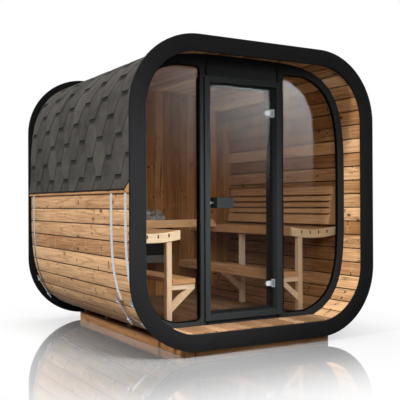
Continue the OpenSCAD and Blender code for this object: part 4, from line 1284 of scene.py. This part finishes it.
# %% Seat arcs
BENCH_FACE_H, BENCH_BOARD_T, SLAT_T, SLAT_GAP, BENCH_SLATS = 0.071, 0.028, 0.026, 0.012, 4
BENCH_DIP = 0.024
end_low, end_high = corners("upper_bench_ends")
bench_low, bench_high = corners("upper_bench_right")
bench_x, bench_far, bench_top = bench_low[0], end_high[0], bench_high[2]
bench_w = bench_far - bench_x
seat_r = ((bench_w / 2) ** 2 + BENCH_DIP ** 2) / (2 * BENCH_DIP)
seat_centre = np.array([bench_x + bench_w / 2, bench_top - BENCH_DIP + seat_r])


def seat_height(x, below):
    """Height of the arc `below` metres under the seat: zc - sqrt((R + below)^2 - (x - xc)^2)."""
    return seat_centre[1] - np.sqrt((seat_r + below) ** 2 - (x - seat_centre[0]) ** 2)


def seat_strip(x0, x1, top, bottom, steps=3):
    """Outline between two arcs and two distances, counter-clockwise from the front."""
    x = np.linspace(x0, x1, steps)
    lower = np.stack([x, seat_height(x, bottom)], -1)
    upper = np.stack([x, seat_height(x, top)], -1)[::-1]
    return np.concatenate([lower, upper])


seat_span = bench_w - BENCH_BOARD_T - SLAT_GAP
slat_w = (seat_span - BENCH_SLATS * SLAT_GAP) / BENCH_SLATS
slat_x = bench_x + BENCH_BOARD_T + SLAT_GAP + np.arange(BENCH_SLATS) * (slat_w + SLAT_GAP)
bench_strips = [seat_strip(bench_x, bench_x + BENCH_BOARD_T, 0, BENCH_FACE_H)]
bench_strips += [seat_strip(x, x + slat_w, 0, SLAT_T) for x in slat_x]
benches = {"right": Solids(), "left": Solids()}
for outline in bench_strips:
    solid = prism(outline, bench_low[1], bench_high[1])
    benches["right"].add(*solid, Y_AXIS)
    benches["left"].add(*mirrored(*solid), Y_AXIS)
for side, made in benches.items():
    made.piece(f"upper_bench_{side}_boards", "bench_timber", ["upper_bench_" + side], bevel=0.003)

# %% [markdown]
# Bench ends
#
# The ends of the slats are closed by a plate cut to the same hollow, whose top also dips. Each
# slat is fixed through it by a screw, hidden in a small slot that is plugged with darker wood. The
# plugs are set a fraction of a millimetre proud, as they are once the wood has dried.

# %% End plates, plugs and the middle bearer
PLUG_W, PLUG_H, PLUG_PITCH, PLUG_SHIFT = 0.011, 0.030, 0.090, 0.010
PLUG_DEPTH_SHARE, PLUG_PROUD, PLUG_FLAT = 0.34, 0.0005, 0.0002
LEG_W = 0.045
leg_low, leg_high = corners("bench_legs")
leg_ys = np.array([leg_low[1], leg_high[1] - LEG_W])
end_plates, plugs = Solids(), Solids()
plate_outline = seat_strip(bench_x, bench_far, 0, BENCH_FACE_H, 17)
plug_x = slat_x[0] + slat_w / 2 + PLUG_SHIFT + PLUG_PITCH * np.arange(BENCH_SLATS)
plug_z = seat_height(plug_x, BENCH_FACE_H * PLUG_DEPTH_SHARE)
plug_outline = rounded_rectangle(PLUG_W, PLUG_H, PLUG_W / 2 - PLUG_FLAT)
plug_outlines = plug_outline + np.stack([plug_x, plug_z], -1)[:, None]
for y0 in (end_low[1], end_high[1] - BENCH_BOARD_T):
    end_plates.both(*prism(plate_outline, y0, y0 + BENCH_BOARD_T))
    face_y = np.full(len(plug_x), y0 if y0 < 0 else y0 + BENCH_BOARD_T)
    plugs.both(*prism(plug_outlines, face_y - PLUG_PROUD, face_y + PLUG_PROUD))
end_plates.both(*prism(seat_strip(bench_x + BENCH_BOARD_T, bench_far, SLAT_T, BENCH_FACE_H, 9),
                       leg_ys[1], leg_ys[1] + LEG_W))
# The end plates take the paler copy of the bench timber, which is painted light
end_plates.piece("upper_bench_end_plates", "bench_timber", ["upper_bench_ends"],
                 finish="end_timber", bevel=0.005, segments=3)
plugs.piece("bench_screw_plugs", "bench_timber", finish="plug_timber")

# %% [markdown]
# Lower benches, legs and brackets
#
# The lower bench is a step: a deep board along the aisle, two slats and a board across the end.
# It hangs on arms that are fixed to the legs of the upper bench, and a sloping brace under each
# arm carries its end back to the leg.

# %% Lower benches
STEP_FACE_H, END_BOARD_H, FRAME_GAP = 0.070, BENCH_BOARD_T + SLAT_GAP, 0.040
step_low, step_high = corners("lower_benches")
step_x = frame_high[0] + FRAME_GAP
step_far, step_top = step_high[0], step_high[2]
step_y0, step_y1 = step_low[1], step_high[1]
step_slat_w = (step_far - step_x - BENCH_BOARD_T - SLAT_GAP - 2 * SLAT_GAP) / 2
slat_edges = step_x + BENCH_BOARD_T + SLAT_GAP + np.arange(2) * (step_slat_w + SLAT_GAP)
inside_y0, notch_x = step_y0 + BENCH_BOARD_T, step_x + BENCH_BOARD_T
step_boards = [([step_x, inside_y0, step_top - STEP_FACE_H], [notch_x, step_y1, step_top], Y_AXIS),
               ([step_x, step_y0, step_top - END_BOARD_H], [step_far, inside_y0, step_top], X_AXIS)]
step_boards += [([x, inside_y0, step_top - SLAT_T], [x + step_slat_w, step_y1, step_top], Y_AXIS)
                for x in slat_edges]
steps_made = Solids()
for low, high, along in step_boards:
    steps_made.both(boxes(low, high), BOX_FACES, along)
steps_made.piece("lower_bench_boards", "bench_timber", ["lower_benches"], bevel=0.003)

# %% Legs, arms and braces
ARM_H, BRACE_CUT, BRACE_INSET = 0.040, 0.0636, 0.006
BRACE_ALONG = np.array([0.7071, 0, -0.7071])
leg_x = leg_high[0]
inner_leg = leg_x - LEG_W
legs, brackets = Solids(), Solids()
arm_low, arm_high = corners("bench_brackets")
arm_foot = arm_high[2] - ARM_H
brace = np.array([(inner_leg, arm_low[2]), (inner_leg, arm_low[2] + BRACE_CUT),
                  (step_x + BRACE_INSET + BRACE_CUT, arm_foot), (step_x + BRACE_INSET, arm_foot)])
# The arm is notched at its end for the fascia, so it is an L and, at the end board, a tongue
notch_z = step_top - STEP_FACE_H
arm = np.array([(step_x, arm_foot), (inner_leg, arm_foot), (inner_leg, arm_high[2]),
                (notch_x, arm_high[2]), (notch_x, notch_z), (step_x, notch_z)])
leg_x_run = np.linspace(inner_leg, leg_x, 3)
leg_top = np.stack([leg_x_run, seat_height(leg_x_run, BENCH_FACE_H)], -1)[::-1]
leg_outline = np.concatenate([[[inner_leg, leg_low[2]], [leg_x, leg_low[2]]], leg_top])
for y in leg_ys:
    legs.both(*prism(leg_outline, y, y + LEG_W), Z_AXIS)
    brackets.both(*prism(brace, y, y + LEG_W), BRACE_ALONG)
    brackets.both(*prism(arm, max(y, inside_y0), y + LEG_W))
    if y < inside_y0:
        tongue = boxes([step_x, y, arm_foot], [inner_leg, inside_y0, arm_high[2]])
        brackets.both(tongue, BOX_FACES)
# Legs and brackets take the paler copy of the bench timber, which is painted light
legs.piece("bench_leg_posts", "bench_timber", ["bench_legs"], finish="end_timber", bevel=0.0025)
brackets.piece("bench_bracket_bars", "bench_timber", ["bench_brackets"], finish="end_timber",
               bevel=0.0025)

# %% [markdown]
# Backrests
#
# Five slats lean towards the wall, a wide one at the top and bottom and three narrow ones
# between. They are boxes in a leaning plane, so each corner is turned about the foot of the
# backrest by the lean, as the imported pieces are.

# %% Backrests
BACK_LEAN = math.radians(8)
BACK_T, BACK_GAP, UPRIGHT_W = 0.020, 0.015, 0.045
BACK_HEIGHTS = np.array([0.080, 0.040, 0.040, 0.040, 0.070])
BACK_INSET, BACK_RISE, WALL_GAP = 0.129, 0.017, 0.001
back_low, back_high = corners("backrests")
back_foot = np.array([half_w - BACK_INSET, bench_top + BACK_RISE])
rise = np.concatenate([[0], np.cumsum(BACK_HEIGHTS + BACK_GAP)[:-1]])


def leaning(points):
    """x' = x0 + x cos a + z sin a, z' = z0 - x sin a + z cos a."""
    x, y, z = np.moveaxis(points, -1, 0)
    c, s = math.cos(BACK_LEAN), math.sin(BACK_LEAN)
    return np.stack([back_foot[0] + x * c + z * s, y, back_foot[1] - x * s + z * c], -1)


slat_low = np.stack([0 * rise, 0 * rise + back_low[1], rise], -1)
slat_high = np.stack([0 * rise + BACK_T, 0 * rise + back_high[1], rise + BACK_HEIGHTS], -1)
Solids().both(leaning(boxes(slat_low, slat_high)), BOX_FACES, Y_AXIS).piece(
    "backrest_slats", "bench_timber", ["backrests"], bevel=0.003)

back_h = BACK_HEIGHTS.sum() + 4 * BACK_GAP
upright_z = np.linspace(0, back_h, 5)
inner_edge = np.stack([0 * upright_z + BACK_T, 0 * upright_z, upright_z], -1)
inner_edge = leaning(inner_edge)[:, [0, 2]]
wall_edge = np.stack([bow_width(inner_edge[:, 1]) - WALL_GAP, inner_edge[:, 1]], -1)
upright_outline = np.concatenate([inner_edge[:1], wall_edge, inner_edge[:0:-1]])
uprights = Solids()
for y in np.linspace(back_low[1], back_high[1] - UPRIGHT_W, 3):
    uprights.both(*prism(upright_outline, y, y + UPRIGHT_W), Z_AXIS)
uprights.piece("backrest_posts", "bench_timber", ["backrest_uprights"], bevel=0.002)

# %% [markdown]
# Heater
#
# The heater is a black steel cabinet on the rear wall with a lighter band round its foot and a
# tray of loose stones on top. The stones are one ball whose radius is changed by a few
# waves, copied with its own turn, size and place for each, all worked out as one array.

# %% Heater cabinet
CASE_R, CASE_INSET, TRAY_WALL = 0.030, 0.006, 0.006
TRAY_DEPTH, TRAY_LAP = 0.060, 0.002
BAND_INSET, BAND_WALL, BAND_SHARE = 0.001, 0.004, 0.185
heater_low, heater_high = corners("heater_body")
heater_mid = (heater_low + heater_high) / 2
heater_size = heater_high - heater_low


def cabinet(inset, z0, z1):
    """Rounded rectangle of X and Y carried up Z, in the order that makes its faces point out."""
    outline = rounded_rectangle(*(heater_size[:2] - inset), CASE_R, 5)[::-1]
    x, y = outline[:, 0], outline[:, 1] + heater_mid[1]
    rings = np.stack([np.stack([x, y, np.full_like(x, z)], -1) for z in (z0, z1)])
    return rings.reshape(-1, 3), lofted(2, len(outline))


def tray_rim(inset, z0, z1, wall):
    """Open box without a top: an outer and an inner loop joined over the rim, as a closed strip."""
    width, depth = heater_size[:2] - inset
    outer = rounded_rectangle(width, depth, CASE_R, 5)[::-1]
    inner = rounded_rectangle(width - 2 * wall, depth - 2 * wall, CASE_R - wall, 5)[::-1]
    loops = [(outer, z0), (outer, z1), (inner, z1), (inner, z0)]
    rings = np.stack([np.stack([o[:, 0], o[:, 1] + heater_mid[1], np.full(len(o), z)], -1)
                      for o, z in loops])
    rings = np.swapaxes(rings, 0, 1)[::-1]
    return rings.reshape(-1, 3), lofted(rings.shape[0], 4, closed=True)


tray_floor = heater_high[2] - TRAY_DEPTH
case = Solids().add(*cabinet(CASE_INSET, heater_low[2], tray_floor))
case.add(*tray_rim(CASE_INSET, tray_floor - TRAY_LAP, heater_high[2], TRAY_WALL))
case.piece("heater_case", "heater_black", ["heater_body"], bevel=0.002)
band_top = heater_low[2] + heater_size[2] * BAND_SHARE
Solids().add(*tray_rim(BAND_INSET, heater_low[2], band_top, BAND_WALL)).piece(
    "heater_cowl_band", "heater_black", finish="heater_cowl", bevel=0.001)

# %% Heater stones
# How many across and deep, and how high over the tray, in each layer
STONE_LAYERS = ((8, 6, 0.006), (8, 6, 0.038), (7, 5, 0.066), (6, 4, 0.088))
STONE_R, STONE_SINK, STONE_MARGIN, HEAP_SLOPE, STONE_STRAY = 0.027, 0.008, 1.1, 0.75, 0.004
POLE_CUT = 0.25
stone_low, stone_high = corners("heater_stones")


def ball(rows=8, sides=10):
    """Grid of latitude and longitude on the unit ball, and its faces with both poles closed."""
    lat = np.linspace(POLE_CUT - np.pi / 2, np.pi / 2 - POLE_CUT, rows)
    lon = np.linspace(0, 2 * np.pi, sides, endpoint=False)[::-1]
    lat, lon = np.meshgrid(lat, lon, indexing="ij")
    place = np.stack([np.cos(lat) * np.cos(lon), np.cos(lat) * np.sin(lon), np.sin(lat)], -1)
    return place.reshape(-1, 3), lofted(rows, sides)


def heap():
    """Stone centres on shrinking grids, one for each layer, each moved a little at random."""
    layers = []
    for across, deep, height in STONE_LAYERS:
        x, y = np.meshgrid(np.linspace(-1, 1, across), np.linspace(-1, 1, deep), indexing="ij")
        wide = (stone_high - stone_low)[:2] / 2 - STONE_R * STONE_MARGIN - height * HEAP_SLOPE
        z = np.full(x.size, heater_high[2] - STONE_SINK + height)
        layers.append(np.stack([heater_mid[0] + x.ravel() * wide[0],
                                heater_mid[1] + y.ravel() * wide[1], z], -1))
    places = np.concatenate(layers)
    return places + rng.normal(0, STONE_STRAY, places.shape)


centres = heap()
unit, stone_faces = ball()
many = len(centres)
waves = rng.normal(0, 1, (many, 3, 3)) * 2.2
phases = rng.uniform(0, 6, (many, 3, 1))
bumps = 1 + 0.10 * np.sin(np.einsum("pi,nki->nkp", unit, waves) + phases).sum(1)
stretch = rng.uniform(0.75, 1.15, (many, 1, 3)) * STONE_R
spin = np.linalg.qr(rng.normal(0, 1, (many, 3, 3)))[0]
spin *= np.sign(np.linalg.det(spin))[:, None, None]
stone_points = np.einsum("npi,nij->npj", unit * bumps[..., None] * stretch, spin) + centres[:, None]
stone_points[..., 2] = np.minimum(stone_points[..., 2], stone_high[2])
Solids().add(stone_points, stone_faces).piece(
    "heater_stone_heap", "heater_stone", ["heater_stones"], sharp=50)

# %% [markdown]
# Guard rail
#
# A board between the two benches keeps people off the heater. Its upper corners are cut on a
# slope. It is one outline given thickness, with rounded edges.

# %% Guard rail
rail_low, rail_high = corners("heater_guard_rail")
rail_h = rail_high[2] - rail_low[2]
RAIL_GAP = 0.0005
rail_x, shoulder_z = rail_high[0] - RAIL_GAP, rail_low[2] + rail_h / 3
rail_outline = np.array([(-rail_x, rail_low[2]), (rail_x, rail_low[2]), (rail_x, shoulder_z),
                         (rail_x - rail_h / 2, rail_high[2]), (rail_h / 2 - rail_x, rail_high[2]),
                         (-rail_x, shoulder_z)])
Solids().add(*prism(rail_outline, rail_low[1], rail_high[1])).piece(
    "guard_rail_board", "bench_timber", ["heater_guard_rail"], bevel=0.004, segments=3)

# %% [markdown]
# Carried-over pieces
#
# The cross boards of the base and the floor bearers are mostly hidden and have the right shape, so
# they stay as they were packed and only get a timber finish that reads Object coordinates.

# %% Finishes for carried-over pieces
refinish("base_cross_boards", "cradle_timber")
refinish("floor_bearers", "bearer_timber")

# %% [markdown]
# Studio
#
# The building stands on a glossy pale floor that runs on into a white background. A real studio
# would curve a paper sweep up behind it. Here the floor is, for the rays that show it, a mix of
# white, of a surface that takes the shadow, and of a mirror that is strongest beside the
# building and fades out with the distance from it. The white is dimmed where ambient occlusion
# finds the building near: a painted contact shadow. To all other rays it is a plain matt surface.


# %% Floor
FLOOR_HALF = 40.0
SHADOW_SHARE, SHADOW_REACH, MIRROR_SHARE, CONTACT_REACH = 0.44, 1.1, 0.64, 0.7
MATT, BOUNCE, SPECK = 0.76, 0.12, 0.02


def floor_finish():
    """Shares of white, matt and mirror by the distance d outside the building's own rectangle. The
    white is dimmed by ambient occlusion near the building: a painted contact shadow.

    d = length of max(|x| - half width, 0) and max(|y| - half depth, 0)
    """
    f = Finish("studio_floor")
    place = f.object_place()
    beyond = f.vector("SUBTRACT", f.vector("ABSOLUTE", place), (*cad_box[1][:2], 0.0))
    away = f.vector("LENGTH", f.vector("MAXIMUM", beyond, (0, 0, 0)), output="Value")
    speck = f.noise(place, 40.0, 2.0)
    matt, bounce = (f.principled(Base_Color=f.blend(speck, (c,) * 3, (c + SPECK,) * 3),
                                 Roughness=0.9, Specular_IOR_Level=0.0) for c in (MATT, BOUNCE))
    mirror = f.node("BsdfGlossy", {"Color": WHITE, "Roughness": 0.05}).outputs[0]
    # Painted contact shadow: the white emission dims where ambient occlusion finds the building near
    open_sky = f.node("AmbientOcclusion", {"Distance": CONTACT_REACH}).outputs["AO"]
    glow = f.remap(open_sky, 0.3, 0.97, 0.12, 1.0)
    white = f.node("Emission", {"Color": WHITE, "Strength": glow}).outputs[0]
    shadowed = f.remap(away, 0.0, SHADOW_REACH, SHADOW_SHARE, 0.0, smooth=True)
    shine = f.remap(away, 0.2, 1.5, MIRROR_SHARE, 0.0, smooth=True)
    shown = f.either(shine, f.either(shadowed, white, matt), mirror)
    seen = f.rays("Is Camera Ray", "Is Transmission Ray", "Is Glossy Ray")
    return f.show(f.either(seen, bounce, shown))


def plane(name, corners_at, material):
    """One four-cornered face that belongs to the studio and not to the building."""
    mesh = bpy.data.meshes.new(name)
    mesh.from_pydata([tuple(c) for c in corners_at], [], [(0, 1, 2, 3)])
    mesh.materials.append(material)
    made = bpy.data.objects.new(name, mesh)
    bpy.context.scene.collection.objects.link(made)
    return made


SQUARE = ((-1, -1), (1, -1), (1, 1), (-1, 1))
plane("studio_floor", [(x * FLOOR_HALF, y * FLOOR_HALF, 0) for x, y in SQUARE], floor_finish())

# %% [markdown]
# Light
#
# A lamp far off on the left lights that side, and throws the slanting shadow of the ring on the
# inside of the porch. A wide one above lights the roof. A weak near one in front lights the
# benches behind the glass, another the right side of the porch, and a small one stands for the
# lamp in the cabin. The world fills the rest and is plain white where it is seen. A tall card on
# the front right gives the glass its pale sheen: only rays off a quite smooth surface see it, and
# it fades out downwards and to the left.

# %% Lamps
PORCH_POINT, SIDE_POINT, TOP_POINT = (1.03, -0.95, 1.7), (0.85, -0.9, 1.1), (0, 0, 2.2)
BENCH_POINT, ROOM_POINT = (-0.75, -0.8, 0.62), (0.85, 0.7, 1.1)


def lamp(name, place, size, level, target, spread=180):
    """Square area lamp that faces a point and gives it `level` times the light of a white world:
    power = level * (pi * distance)^2."""
    data = bpy.data.lights.new(name, "AREA")
    ahead = Vector(target) - Vector(place)
    data.shape, data.size, data.energy = "SQUARE", size, level * (math.pi * ahead.length) ** 2
    data.spread = math.radians(spread)
    made = bpy.data.objects.new(name, data)
    turn = ahead.to_track_quat("-Z", "Y").to_matrix().to_4x4()
    made.matrix_world = Matrix.Translation(place) @ turn
    made.visible_camera = made.visible_glossy = made.visible_transmission = False
    bpy.context.scene.collection.objects.link(made)
    print(f"{name}: {data.energy:.0f} W")


lamp("key", (-11.0, -3.5, 8.3), 1.2, 0.96, PORCH_POINT)
lamp("top", (0.3, 1.6, 8.0), 3.0, 0.65, TOP_POINT)
lamp("front", (-0.7, -3.2, 2.6), 1.0, 0.3, BENCH_POINT, 50)
lamp("right", (-1.6, -4.6, 2.3), 1.2, 0.075, SIDE_POINT, 50)
lamp("cabin", (-0.45, -0.4, 1.4), 0.4, 0.1, ROOM_POINT)

# %% Card
CARD_LEVEL, CARD_FOOT, CARD_BRIGHT, CARD_HEAD = 57.0, 1.1, 3.4, 4.0
CARD_FROM, CARD_TO = (0.9, -6.43), (4.9, -3.2)


def card_finish():
    """Emission that grows with height, from 0 at the card's foot, and to the right."""
    f = Finish("reflector_card")
    x, _, z = f.split(f.object_place())
    level = f.times(f.remap(z, CARD_FOOT, CARD_BRIGHT, 0.0, CARD_LEVEL, smooth=True),
                    f.remap(x, 1.5, 3.6, 0.0, 1.6))
    glow = f.node("Emission", {"Color": WHITE, "Strength": level}).outputs[0]
    clear = f.node("BsdfTransparent", {"Color": WHITE}).outputs[0]
    sharp = f.times(f.rays("Is Glossy Ray"), f.rays("Is Singular Ray"))
    return f.show(f.either(sharp, clear, glow))


card = plane("reflector_card", [(*CARD_FROM, CARD_FOOT), (*CARD_TO, CARD_FOOT),
                                (*CARD_TO, CARD_HEAD), (*CARD_FROM, CARD_HEAD)], card_finish())
card.visible_camera = card.visible_diffuse = False
card.visible_shadow = card.visible_transmission = False

# %% World
WORLD_FILL = 0.32
bpy.context.scene.world = bpy.data.worlds.new("studio")
sky = Finish("studio", bpy.context.scene.world)
fill, white = (sky.node("Background", {"Color": WHITE, "Strength": strength}).outputs[0]
               for strength in (WORLD_FILL, 1.0))
seen = sky.rays("Is Camera Ray", "Is Transmission Ray", "Is Glossy Ray")
sky.node("OutputWorld", {"Surface": sky.either(seen, fill, white)})
bpy.context.scene.view_settings.view_transform = "Standard"
print("world fill:", WORLD_FILL)
